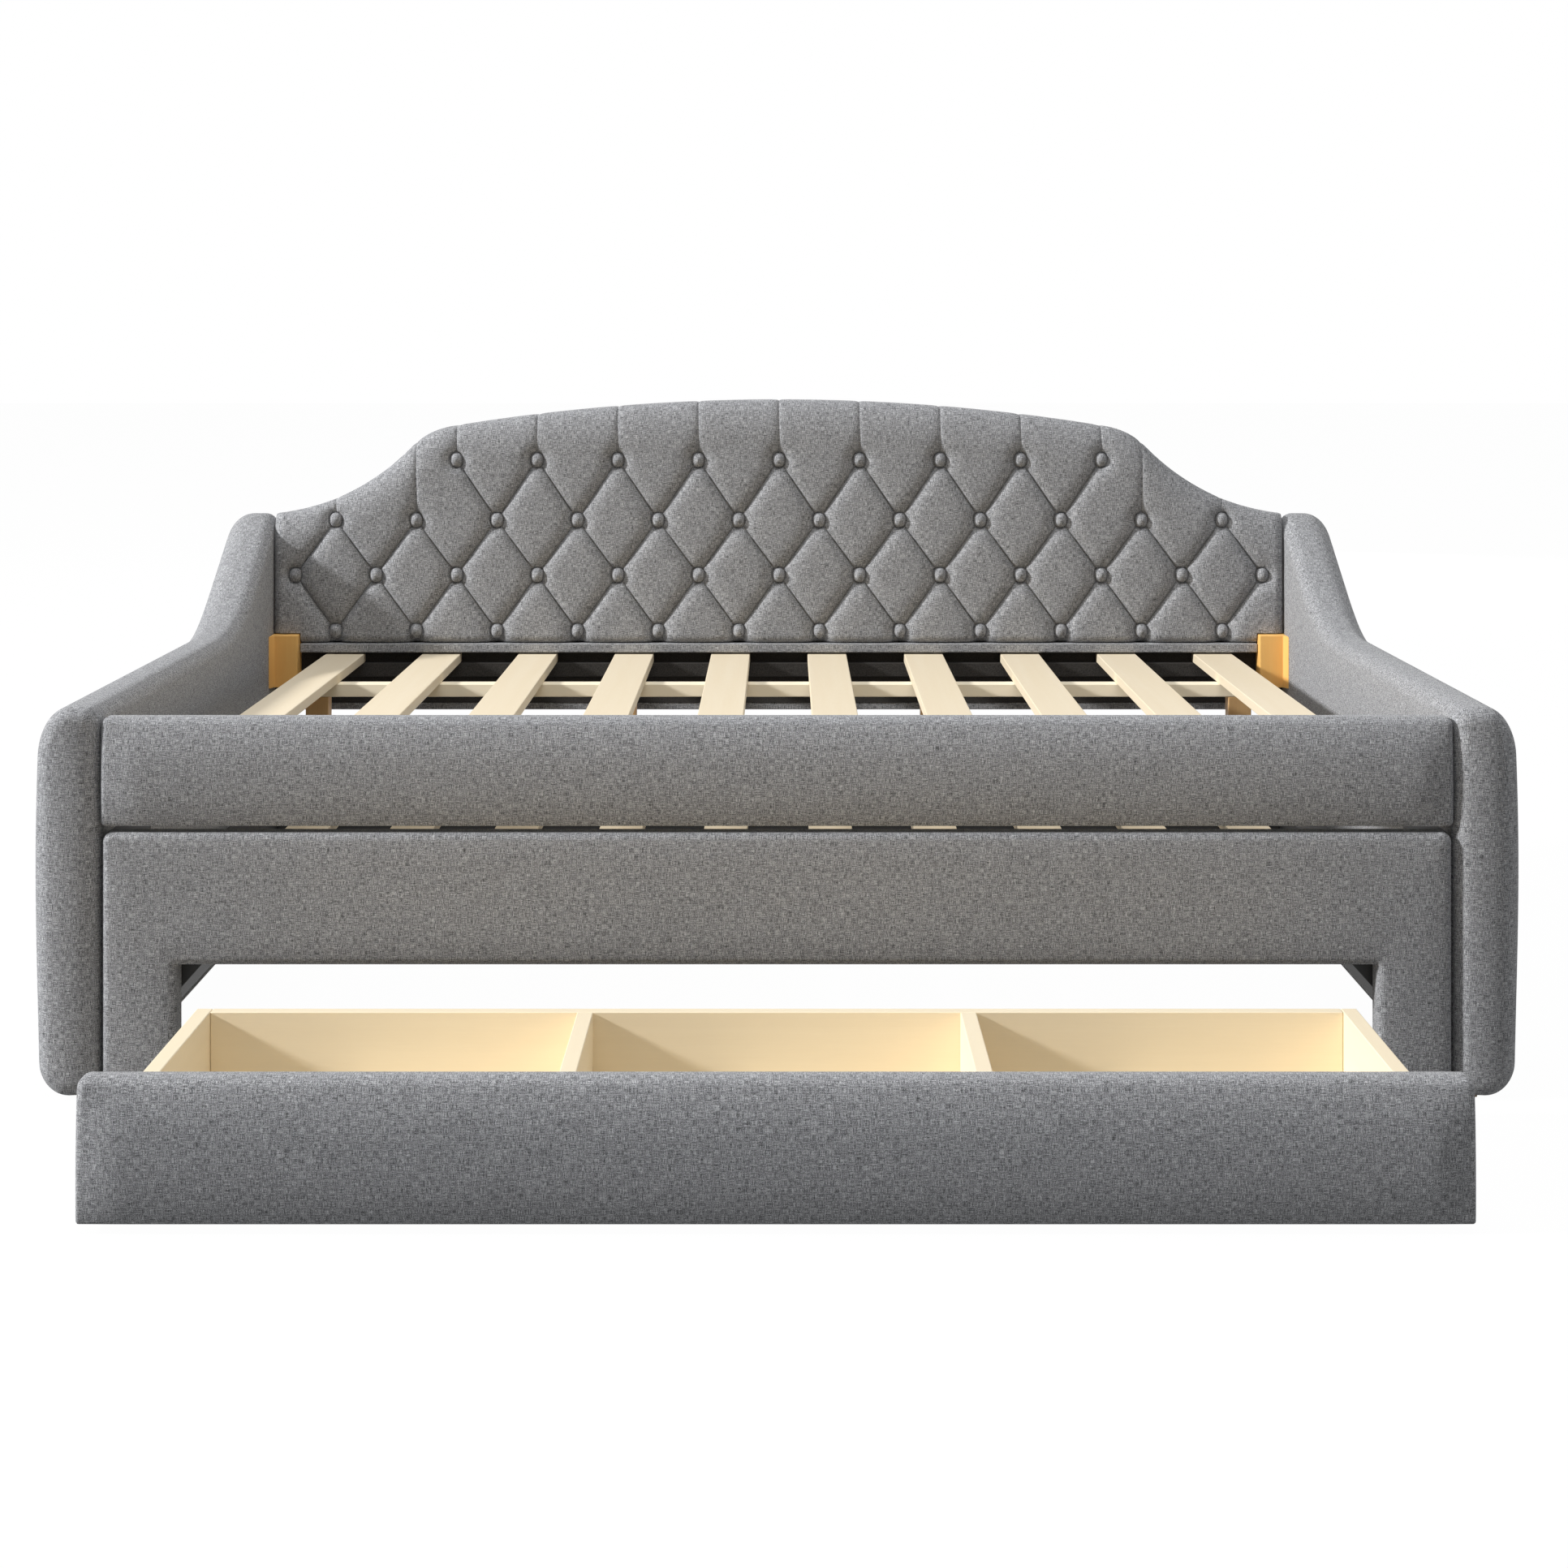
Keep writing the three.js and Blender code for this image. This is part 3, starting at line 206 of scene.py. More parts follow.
# ---------- Light and floor ----------
ROOM_STRENGTH = 0.26
FLOOR_TONE = 0.3
FLOOR_SEEN = 1.055  # brightness of the floor where it is seen
FLOOR_GLOW = 0.93  # share of that brightness which no shadow dims
FLOOR_REACH = 40.0
LIGHT_AIM = (0, 0, 0.45)
LIGHTS = {  # place, size and power
    "key": ((-16.0, -3.6, 8.2), 1.6, 4000),
    "overhead": ((0, -1.0, 6.0), 4.0, 161),
    "right_fill": ((9.0, 1.0, 2.2), 3.0, 83),
    "rear_fill": ((1.5, 10.0, 1.2), 3.0, 276),
}

# ---------- Cloth and wood ----------
THREAD = 1.3 * MM  # spacing of the threads in the upholstery cloth
# Changes of tone per metre, along and across the yarns, and how much each counts.
YARN = (600, 2200, 1.3)
SLUB = (110, 2000, 0.6)
STREAK = (24, 600, 0.14)
LINEN_SPREAD = 0.28  # distance of the darkest and the palest tone from the middle one
LINEN_TONES = [(0.0, (60, 61, 62)), (0.5, (136, 137, 140)), (1.0, (214, 215, 218))]
LINEN_CROSSING = 0.4  # how soon one yarn hides the other where they cross
LINEN_RELIEF = (0.8, 0.35)  # shares of the tone and of the crossings
LINEN_BUMP = (0.55, 0.6 * MM)  # strength and distance
LINEN_LOOK = {
    "Roughness": 0.92, "Specular IOR Level": 0.25, "Sheen Weight": 0.12, "Sheen Roughness": 0.5,
}
# Cells per metre across and along the grain, octaves, offset of the noise, and its share.
GRAIN = [
    (900, 14, 3, (0, 0, 0), 0.35),
    (55, 1.6, 3, (0.3, 0.8, 0.1), 0.5),
    (260, 40, 1, (2.3, 0.8, 5.1), 0.15),
]
WOOD_ROUGHNESS = (0.42, 0.58)
WOOD_BUMP = (0.25, 0.4 * MM)


# ---------- Node helpers ----------
def add_node(tree, kind, inputs=None, **settings):
    """A node of that kind with its settings, its inputs set to values or linked to sockets."""
    made = tree.nodes.new(kind)
    for name, value in settings.items():
        setattr(made, name, value)
    for name, value in (inputs or {}).items():
        if isinstance(value, bpy.types.NodeSocket):
            tree.links.new(value, made.inputs[name])
        else:
            made.inputs[name].default_value = value
    return made


def new_material(name, look):
    """A material, its tree and its shader, with uniform values set on the shader."""
    material = bpy.data.materials.new(name)
    material.use_nodes = True
    tree = material.node_tree
    tree.nodes.clear()
    shader = add_node(tree, "ShaderNodeBsdfPrincipled", look)
    add_node(tree, "ShaderNodeOutputMaterial", {"Surface": shader.outputs[0]})
    return material, tree, shader


def maths(tree, operation, *values):
    """The output of a Math node fed with numbers or sockets."""
    inputs = dict(enumerate(values))
    return add_node(tree, "ShaderNodeMath", inputs, operation=operation).outputs[0]


def stretched_noise(tree, vector, scale, octaves, offset=(0, 0, 0)):
    """Noise whose cells are stretched: scale is cells per metre along each axis."""
    placed = add_node(tree, "ShaderNodeMapping", {0: vector, 1: offset, 3: scale}).outputs[0]
    inputs = {"Vector": placed, "Scale": 1.0, "Detail": octaves}
    return add_node(tree, "ShaderNodeTexNoise", inputs).outputs[0]


def span(tree, value, low, high, to_low, to_high):
    """A value mapped from one range to another, held at the ends."""
    inputs = {"Value": value, 1: low, 2: high, 3: to_low, 4: to_high}
    return add_node(tree, "ShaderNodeMapRange", inputs).outputs[0]


def linear(colour):
    """A screen colour, 0 to 255 a channel, as linear light."""
    c = np.array(colour) / 255
    return tuple(np.where(c <= 0.04045, c / 12.92, ((c + 0.055) / 1.055) ** 2.4))


def colour_ramp(tree, factor, stops):
    """Colours at places along a factor from 0 to 1."""
    ramp = add_node(tree, "ShaderNodeValToRGB", {0: factor})
    elements = ramp.color_ramp.elements
    for element, (place, colour) in zip(elements, stops):
        element.position = place
        element.color = (*linear(colour), 1)
    for place, colour in stops[len(elements):]:
        elements.new(place).color = (*linear(colour), 1)
    return ramp.outputs[0]


def bump(tree, shader, height, strength, distance):
    """Relief from a height, on the shader's normal."""
    inputs = {"Height": height, "Strength": strength, "Distance": distance}
    made = add_node(tree, "ShaderNodeBump", inputs)
    tree.links.new(made.outputs[0], shader.inputs["Normal"])


# ---------- Materials ----------
def heather_linen():
    """Grey upholstery: a plain weave of warp and weft yarns, each mottled along its length.

    The weave shows the weft where sin(u) sin(v) is positive and the warp where it is negative.
    Their tones, slubs and streaks are noise stretched along each yarn.
    """
    material, tree, shader = new_material("heather_linen", LINEN_LOOK)
    uv = add_node(tree, "ShaderNodeUVMap", uv_map="cloth").outputs[0]
    parts = add_node(tree, "ShaderNodeSeparateXYZ", {0: uv}).outputs
    wave_u = maths(tree, "SINE", maths(tree, "MULTIPLY", parts[0], pi / THREAD))
    wave_v = maths(tree, "SINE", maths(tree, "MULTIPLY", parts[1], pi / THREAD))
    crossed = maths(tree, "MULTIPLY", wave_u, wave_v)
    over = span(tree, crossed, -LINEN_CROSSING, LINEN_CROSSING, 0, 1)
    weft = stretched_noise(tree, uv, (YARN[0], YARN[1], 1), 1)
    warp = stretched_noise(tree, uv, (YARN[1], YARN[0], 1), 1, (3.1, 7.7, 0))
    yarn = add_node(tree, "ShaderNodeMix", {0: over, 2: warp, 3: weft}).outputs[0]
    tone = maths(tree, "MULTIPLY", yarn, YARN[2])
    middle = YARN[2] / 2
    for along, across, share in (SLUB, STREAK):
        weft = stretched_noise(tree, uv, (along, across, 1), 0, (9.4, 1.2, 0))
        warp = stretched_noise(tree, uv, (across, along, 1), 0, (4.4, 5.2, 0))
        both = maths(tree, "ADD", weft, warp)
        tone = maths(tree, "ADD", tone, maths(tree, "MULTIPLY", both, share))
        middle += share
    tones = span(tree, tone, middle - LINEN_SPREAD, middle + LINEN_SPREAD, 0, 1)
    tree.links.new(colour_ramp(tree, tones, LINEN_TONES), shader.inputs["Base Color"])
    yarns = maths(tree, "MULTIPLY", tone, LINEN_RELIEF[0])
    crossings = maths(tree, "MULTIPLY", over, LINEN_RELIEF[1])
    bump(tree, shader, maths(tree, "ADD", yarns, crossings), *LINEN_BUMP)
    return material


def timber(name, pale, dark, grain):
    """Planed softwood: fibres, broad growth bands and flecks, all stretched along the grain."""
    material, tree, shader = new_material(name, {"Specular IOR Level": 0.35})
    place = add_node(tree, "ShaderNodeTexCoord").outputs["Object"]
    layers = []
    for across, along, octaves, offset, share in GRAIN:
        scale = tuple(along if axis == grain else across for axis in range(3))
        noise = stretched_noise(tree, place, scale, octaves, offset)
        layers.append((noise, maths(tree, "MULTIPLY", noise, share)))
    tone = layers[0][1]
    for _, layer in layers[1:]:
        tone = maths(tree, "ADD", tone, layer)
    middle = tuple((a + b) / 2 for a, b in zip(pale, dark))
    ramp = colour_ramp(tree, tone, [(0.0, dark), (0.5, middle), (1.0, pale)])
    tree.links.new(ramp, shader.inputs["Base Color"])
    rough = span(tree, layers[0][0], 0, 1, *WOOD_ROUGHNESS)
    tree.links.new(rough, shader.inputs["Roughness"])
    bump(tree, shader, tone, *WOOD_BUMP)
    return material


def mottled(name, noise, stops, relief, look=None, rough=None):
    """A surface with one noise for its colour, its relief and, where given, its roughness.

    The noise is given as cells per metre along each axis and octaves, the relief as strength and
    distance, and the roughness as a range of the noise and the range that it becomes.
    """
    material, tree, shader = new_material(name, look)
    place = add_node(tree, "ShaderNodeTexCoord").outputs["Object"]
    value = stretched_noise(tree, place, *noise)
    tree.links.new(colour_ramp(tree, value, stops), shader.inputs["Base Color"])
    if rough:
        tree.links.new(span(tree, value, *rough), shader.inputs["Roughness"])
    bump(tree, shader, value, *relief)
    return material


def matt_felt(name, darker, lighter):
    """Non-woven cloth or webbing: short pressed fibres, matt."""
    stops = [(0.3, darker), (0.7, lighter)]
    return mottled(name, ((700, 700, 700), 3), stops, (0.4, 0.5 * MM), {"Roughness": 0.95})


def black_shade_paint():
    """Painted shade: near-black for the trundle's boards, with a roller's faint orange-peel."""
    stops = [(0.3, (8, 8, 8)), (0.8, (17, 17, 17))]
    noise, rough = ((420, 420, 420), 2), (0.2, 0.8, 0.5, 0.7)
    return mottled("black_paint", noise, stops, (0.2, 0.4 * MM), rough=rough)


def zinc_steel():
    """Dark plated sheet steel of the caster forks, faintly streaked."""
    stops = [(0.3, (92, 92, 95)), (0.75, (148, 148, 150))]
    noise, rough = ((900, 60, 300), 3), (0.2, 0.8, 0.28, 0.48)
    return mottled("zinc_steel", noise, stops, (0.15, 0.3 * MM), {"Metallic": 1.0}, rough)


def black_nylon():
    """Moulded nylon of the caster wheels, scuffed where it rolls."""
    stops = [(0.35, (20, 20, 21)), (0.75, (44, 44, 46))]
    noise, rough = ((500, 500, 500), 4), (0.3, 0.7, 0.38, 0.62)
    return mottled("black_nylon", noise, stops, (0.2, 0.3 * MM), rough=rough)


X_GRAIN, Y_GRAIN, Z_GRAIN = range(3)
linen = heather_linen()
slat_wood = timber("slat_wood", (236, 225, 203), (223, 205, 173), Y_GRAIN)
beam_wood = timber("beam_wood", (252, 243, 221), (250, 236, 208), X_GRAIN)
core_tones = (214, 186, 146), (184, 150, 106)
core_wood = timber("core_wood", *core_tones, X_GRAIN)
core_wood_deep = timber("core_wood_deep", *core_tones, Y_GRAIN)
leg_wood = timber("leg_wood", (220, 184, 134), (192, 152, 104), Z_GRAIN)
block_wood = timber("block_wood", (252, 206, 128), (240, 178, 96), Z_GRAIN)
drawer_tones = (243, 230, 203), (234, 219, 190)
drawer_wood = timber("drawer_wood", *drawer_tones, X_GRAIN)
drawer_wood_deep = timber("drawer_wood_deep", *drawer_tones, Y_GRAIN)
dust_cloth = matt_felt("dust_cloth", (24, 21, 18), (62, 59, 56))
strap_webbing = matt_felt("strap_webbing", (172, 168, 158), (210, 206, 196))
# Near-black painted shade, for the dark under the bed, on the trundle's boards and gussets.
black_paint = black_shade_paint()
caster_steel = zinc_steel()
caster_nylon = black_nylon()


# ---------- Mesh helpers ----------
def cloth_map(mesh):
    """A UV map in metres: each face is seen square to the axis that it faces most."""
    count = len(mesh.polygons)
    normals = np.empty(count * 3, np.float32)
    mesh.polygons.foreach_get("normal", normals)
    corners = np.empty(count, np.int32)
    mesh.polygons.foreach_get("loop_total", corners)
    facing = np.repeat(np.abs(normals.reshape(-1, 3)).argmax(1), corners)
    places = np.empty(len(mesh.vertices) * 3, np.float32)
    mesh.vertices.foreach_get("co", places)
    used = np.empty(len(mesh.loops), np.int32)
    mesh.loops.foreach_get("vertex_index", used)
    at = places.reshape(-1, 3)[used]
    first = np.where(facing == 0, at[:, 1], at[:, 0])
    second = np.where(facing == 2, at[:, 1], at[:, 2])
    uv = mesh.uv_layers.new(name="cloth")
    uv.data.foreach_set("uv", np.stack([first, second], 1).ravel().astype(np.float32))


def finish_piece(mesh, material):
    """The mesh as an object in the scene, with its cloth map, its material and smooth shading."""
    mesh.validate()
    mesh.update()
    cloth_map(mesh)
    mesh.materials.append(material)
    mesh.polygons.foreach_set("use_smooth", np.full(len(mesh.polygons), True))
    piece = bpy.data.objects.new(mesh.name, mesh)
    bpy.context.scene.collection.objects.link(piece)
    return piece


def rings_faces(rows, columns):
    """Quads between rows of closed rings, each of columns points."""
    r, c = np.meshgrid(np.arange(rows - 1), np.arange(columns), indexing="ij")
    here, above, n = r * columns, (r + 1) * columns, (c + 1) % columns
    return np.stack([here + c, here + n, above + n, above + c], -1).reshape(-1, 4)


def fan_volume(points, faces):
    """Six times the signed volume between the origin and the faces, from the fan of each face."""
    total = 0.0
    for face in faces:
        a, b, c = points[face[0]], points[face[1:-1]], points[face[2:]]
        total += np.einsum("ij,ij->", np.broadcast_to(a, b.shape), np.cross(b, c))
    return total


def ring_solid(name, rings, material):
    """A closed body over rings of points, with a flat face inside its first and last ring."""
    rows, columns = rings.shape[:2]
    points = rings.reshape(-1, 3)
    quads = rings_faces(rows, columns)
    caps = [np.arange(columns)[::-1], (rows - 1) * columns + np.arange(columns)]
    a, b, c, d = (points[quads[:, k]] for k in range(4))
    total = np.einsum("ij,ij->", a, np.cross(b, c)) + np.einsum("ij,ij->", a, np.cross(c, d))
    total += fan_volume(points, caps)
    faces = [list(f) for f in quads] + [list(f) for f in caps]
    if total < 0:
        faces = [f[::-1] for f in faces]
    mesh = bpy.data.meshes.new(name)
    mesh.from_pydata(points.tolist(), [], faces)
    return finish_piece(mesh, material)


def quarter(cx, cz, rx, rz, start, steps):
    """Points of quarter ellipses round (cx, cz), from angle start: one row for each centre."""
    turn = start + np.linspace(0, pi / 2, steps)
    x = np.asarray(cx)[..., None] + np.asarray(rx)[..., None] * np.cos(turn)
    z = np.asarray(cz)[..., None] + np.asarray(rz)[..., None] * np.sin(turn)
    return x, z


def half_chord(radius, distance):
    """Half the chord of a circle at a distance from its centre."""
    return np.sqrt(np.clip(radius**2 - distance**2, 0, None))


def set_back(radius, distance):
    """How far a quarter-round edge lies back at a distance in from the outline."""
    return radius - half_chord(radius, np.clip(radius - distance, 0, None))


def edge_profile(radius, crown, width, turns, steps):
    """Distances in from the edge of a padded face, and how far it lies back at each.

    A quarter circle of that radius, then a low crown that levels out at width.
    """
    turn = np.linspace(0, pi / 2, turns)
    inset = radius * (1 - np.cos(turn))
    beyond = np.linspace(radius, width, steps + 1)[1:]
    inset = np.concatenate([inset, beyond])
    return inset, set_back(radius, inset) + crown * (1 - inset / width) ** 2


def smooth_step(value, low, high):
    """Rises from 0 at low to 1 at high, level at both ends."""
    t = np.clip((value - low) / (high - low), 0, 1)
    return t * t * (3 - 2 * t)


def stands_for(piece, node, body):
    """Hides the padded cover that a piece replaces, and attaches the piece to the body that
    carries it.
    """
    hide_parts(node)
    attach(piece, body)


def upholstered(name, rings, body):
    """The padded cover of that name, over rings of points."""
    stands_for(ring_solid(name + "_upholstery", rings, linen), name + "_cover", body)


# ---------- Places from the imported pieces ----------
arm_inner, arm_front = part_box("right_arm_cover")[0].xy
arm_outer, arm_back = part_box("right_arm_cover")[1].xy
back_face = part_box("back_board")[0].y
fixed_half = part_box("back_board")[1].x
block_low, block_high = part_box("right_corner_block")


# ---------- Arms ----------
crest_end = arm_back - CREST_LEVEL
crest_start = crest_end - CREST_RADIUS * np.sin(SWOOP_ANGLE)
swoop_drop = (SWOOP_RADIUS + CREST_RADIUS) * (1 - np.cos(SWOOP_ANGLE))
slope_length = (ARM_HIGH - ARM_LOW - swoop_drop) / np.sin(SWOOP_ANGLE)
slope_start = crest_start - slope_length * np.cos(SWOOP_ANGLE)
swoop_start = slope_start - SWOOP_RADIUS * np.sin(SWOOP_ANGLE)
slope_foot = ARM_LOW + SWOOP_RADIUS * (1 - np.cos(SWOOP_ANGLE))


def arm_top(y):
    """Height of an arm's top at y: level, a hollow arc, a straight slope, a round crest, level."""
    hollow = ARM_LOW + SWOOP_RADIUS - half_chord(SWOOP_RADIUS, y - swoop_start)
    slope = slope_foot + (y - slope_start) * np.tan(SWOOP_ANGLE)
    crest = ARM_HIGH - CREST_RADIUS + half_chord(CREST_RADIUS, crest_end - y)
    bends = [y <= swoop_start, y <= slope_start, y < crest_start, y < crest_end]
    return np.select(bends, [ARM_LOW, hollow, slope, crest], ARM_HIGH)


def arm_rings(y, inset):
    """Sections of the right arm at each y, drawn in by inset.

    Each is four quarter ellipses joined by lines, and swells outwards below the level top.
    """
    inner, outer = arm_inner + inset, arm_outer - inset
    low, high = ARM_FOOT + inset, arm_top(y) - inset
    room = (outer - inner) / 2

    def soft(radius):
        """A radius that shrinks as its section is drawn in."""
        return np.clip(np.minimum(radius - inset, room), ARM_FINEST, None)

    def side(x, start, end, steps):
        """Points of a straight side, without its ends."""
        share = np.linspace(0, 1, steps)[1:-1]
        return x[:, None] + 0 * share, start[:, None] + (end - start)[:, None] * share

    swept = smooth_step(y, swoop_start, slope_start)
    round_x, round_z = (a + (b - a) * swept for a, b in zip(ARM_OUTER_TOP, ARM_OUTER_CREST))
    top_x, top_z = soft(round_x), np.clip(round_z - inset, ARM_FINEST, None)
    top_in, foot_in, foot_out = (soft(r) for r in (ARM_INNER_TOP, ARM_INNER_FOOT, ARM_OUTER_FOOT))
    steps = ARM_CORNER_STEPS
    outline = [
        quarter(outer - top_x, high - top_z, top_x, top_z, 0, steps[0]),
        quarter(inner + top_in, high - top_in, top_in, top_in, pi / 2, steps[1]),
        side(inner, high - top_in, low + foot_in, ARM_SIDE_STEPS[0]),
        quarter(inner + foot_in, low + foot_in, foot_in, foot_in, pi, steps[2]),
        quarter(outer - foot_out, low + foot_out, foot_out, foot_out, 1.5 * pi, steps[3]),
        side(outer, low + foot_out, high - top_z, ARM_SIDE_STEPS[1]),
    ]
    x, z = (np.concatenate(places, 1) for places in zip(*outline))
    up = np.clip((z - ARM_FOOT) / (ARM_LOW - ARM_FOOT), 0, 1)
    out = np.clip((x - arm_inner) / (arm_outer - arm_inner), 0, 1)
    swell = out ** ARM_FULLNESS_POWERS[0] * np.sin(pi * up ** ARM_FULLNESS_POWERS[1])
    x = x + ARM_FULLNESS * swell * (z < ARM_LOW)
    return np.stack([x, np.broadcast_to(y[:, None], x.shape), z], -1)


def arm_cover(side):
    """An arm's cover: rounded padded ends and the swept middle, mirrored for the left one."""
    deepest = (arm_outer - arm_inner) * ARM_DEEPEST
    inset, lie = edge_profile(ARM_END_RADIUS, 0, deepest, *ARM_END_STEPS)
    round_end = arm_front + ARM_END_RADIUS
    bends = (round_end, swoop_start, slope_start, crest_start, crest_end)
    middle = np.concatenate([
        np.linspace(start, end, steps)[1:]
        for start, end, steps in zip(bends, bends[1:], ARM_LENGTH_STEPS)
    ])
    middle = middle[middle < arm_back - ARM_END_RADIUS - ARM_FINEST]
    lie = lie - lie.min()
    y = np.concatenate([(arm_front + lie)[::-1], middle, arm_back - lie])
    drawn_in = np.concatenate([inset[::-1], 0 * middle, inset])
    rings = arm_rings(y, drawn_in)
    middle_x = (arm_inner + arm_outer) / 2
    bulge = ((rings[..., 0] - middle_x) / (arm_outer - middle_x)) ** 2
    fade = 1 - smooth_step(rings[..., 1], round_end, round_end + ARM_CROWN_FADE)
    rings[..., 1] += ARM_CROWN * bulge * fade
    rings[..., 0] *= side
    upholstered("right_arm" if side > 0 else "left_arm", rings, "daybed")


# ---------- Camel back ----------
sweep_x = arm_inner + SWEEP_RADIUS * np.sin(SWEEP_END_ANGLE)
sweep_z = ARM_HIGH + SWEEP_RADIUS * np.cos(SWEEP_END_ANGLE)
shoulder_x = sweep_x - (SWEEP_RADIUS + SHOULDER_RADIUS) * np.sin(SHOULDER_ANGLE)
shoulder_z = sweep_z - (SWEEP_RADIUS + SHOULDER_RADIUS) * np.cos(SHOULDER_ANGLE)
crown_angle = np.arcsin(shoulder_x / (CROWN_RADIUS - SHOULDER_RADIUS))
crown_z = shoulder_z - (CROWN_RADIUS - SHOULDER_RADIUS) * np.cos(crown_angle)


def camel_top(x, inset=0.0):
    """Height of the camel outline, drawn in by inset.

    It is a long crown arc, a round shoulder and a hollow sweep, each tangent to the next.
    """
    u = np.abs(x)
    crown, shoulder, sweep = CROWN_RADIUS - inset, SHOULDER_RADIUS - inset, SWEEP_RADIUS + inset
    on_crown = crown_z + np.sqrt(crown**2 - u**2)
    on_shoulder = shoulder_z + half_chord(shoulder, u - shoulder_x)
    on_sweep = sweep_z - half_chord(sweep, u - sweep_x)
    shoulder_end = shoulder_x + shoulder * np.sin(SHOULDER_ANGLE)
    bends = [u <= crown * np.sin(crown_angle), u <= shoulder_end]
    return np.select(bends, [on_crown, on_shoulder], on_sweep)


def buttons():
    """Every button as (row, place in half spacings, x, z), rows from the lowest up."""
    return [
        (row, place, place * TUFT_HALF, TUFT_HEIGHTS[row])
        for row, last in enumerate(TUFT_LAST)
        for place in range(-last, last + 1, 2)
    ]


def folds():
    """Folds from button to button, and seams from the uppermost buttons to the top edge.

    Each is (x, z) of its two ends, and whether it is a seam.
    """
    places = {(row, place) for row, place, _, _ in buttons()}
    top, top_last = len(TUFT_LAST) - 1, TUFT_LAST[-1]
    lines = []
    for row, place, x, z in buttons():
        for side in (-1, 1):
            # The outermost buttons of the top row have no fold outwards.
            outward = row == top - 1 and abs(place) > abs(place + side) == top_last
            if (row + 1, place + side) in places and not outward:
                lines.append((x, z, (place + side) * TUFT_HALF, TUFT_HEIGHTS[row + 1], False))
        if row == top or (row == top - 1 and abs(place) > top_last):
            lines.append((x, z, x, float(camel_top(x)), True))
    return lines


def tuft_depth(x, z):
    """Depth of the upholstery below its crowns: each fold and button draws it in round itself.

    One minus the product, over folds and buttons, of one minus a share that dies away with
    distance, and a narrow crease along each fold and round each button. A seam grows shallow
    towards the top edge.
    """
    crown = np.ones_like(x)
    crease = np.zeros_like(x)
    for x0, z0, x1, z1, seam in folds():
        reach = TUFT_HALF / 2 + FOLD_REACH * FOLD_WIDTH
        near = np.flatnonzero(np.abs(x[:, 0] - (x0 + x1) / 2) < reach)
        px, pz = x[near], z[near]
        dx, dz = x1 - x0, z1 - z0
        along = np.clip(((px - x0) * dx + (pz - z0) * dz) / (dx * dx + dz * dz), 0, 1)
        away = np.hypot(px - x0 - along * dx, pz - z0 - along * dz)
        share = FOLD_SHARE * (1 - seam * along) ** 2 + SEAM_SHARE * seam * along
        width = FOLD_WIDTH * (1 - SEAM_NARROWING * seam * along)
        crown[near] *= 1 - share * np.exp(-np.hypot(away, FOLD_BLUNT) / width)
        line = np.exp(-((away / CREASE_WIDTH) ** 2)) * (1 - SEAM_FADE * seam * along)
        crease[near] = np.maximum(crease[near], line)
    for _, _, bx, bz in buttons():
        near = np.flatnonzero(np.abs(x[:, 0] - bx) < DIMPLE_REACH * BUTTON_DIMPLE)
        dx, dz = np.abs(x[near] - bx), np.abs(z[near] - bz)
        crown[near] *= 1 - FOLD_SHARE * np.exp(-((np.hypot(dx, dz) / BUTTON_DIMPLE) ** 2))
        squared = (dx / BUTTON_HALF[0]) ** BUTTON_SQUARE + (dz / BUTTON_HALF[1]) ** BUTTON_SQUARE
        beyond = np.clip(squared ** (1 / BUTTON_SQUARE) - 1, 0, None) * BUTTON_HALF[0]
        line = CREASE_ROUND_BUTTON * np.exp(-((beyond / CREASE_WIDTH) ** 2))
        crease[near] = np.maximum(crease[near], line)
    return FOLD_DEPTH * (1 - crown) + CREASE_DEPTH * crease


def pad_face(x, z):
    """How far back the pad's face lies at (x, z), both arrays of columns by rows.

    It is tufted, pressed back round the corner blocks, and rolls back towards its top edge as a
    quarter ellipse.
    """
    lie = tuft_depth(x, z)
    near, far = BLOCK_CREASE
    over = smooth_step(np.abs(x), block_low.x - far, block_low.x - near)
    under = 1 - smooth_step(z, block_high.z + near, block_high.z + far)
    rise = np.clip((z - camel_top(x) + PAD_ROLL[1]) / PAD_ROLL[1], 0, 1)
    roll = PAD_ROLL[0] * (1 - np.sqrt(1 - rise**2))
    end = np.clip((np.abs(x) - fixed_half + PAD_END) / PAD_END, 0, 1)
    roll += PAD_END * (1 - np.sqrt(1 - end**2))
    return back_face - PAD_PROUD + np.maximum(lie, BLOCK_PRESS * over * under) + roll


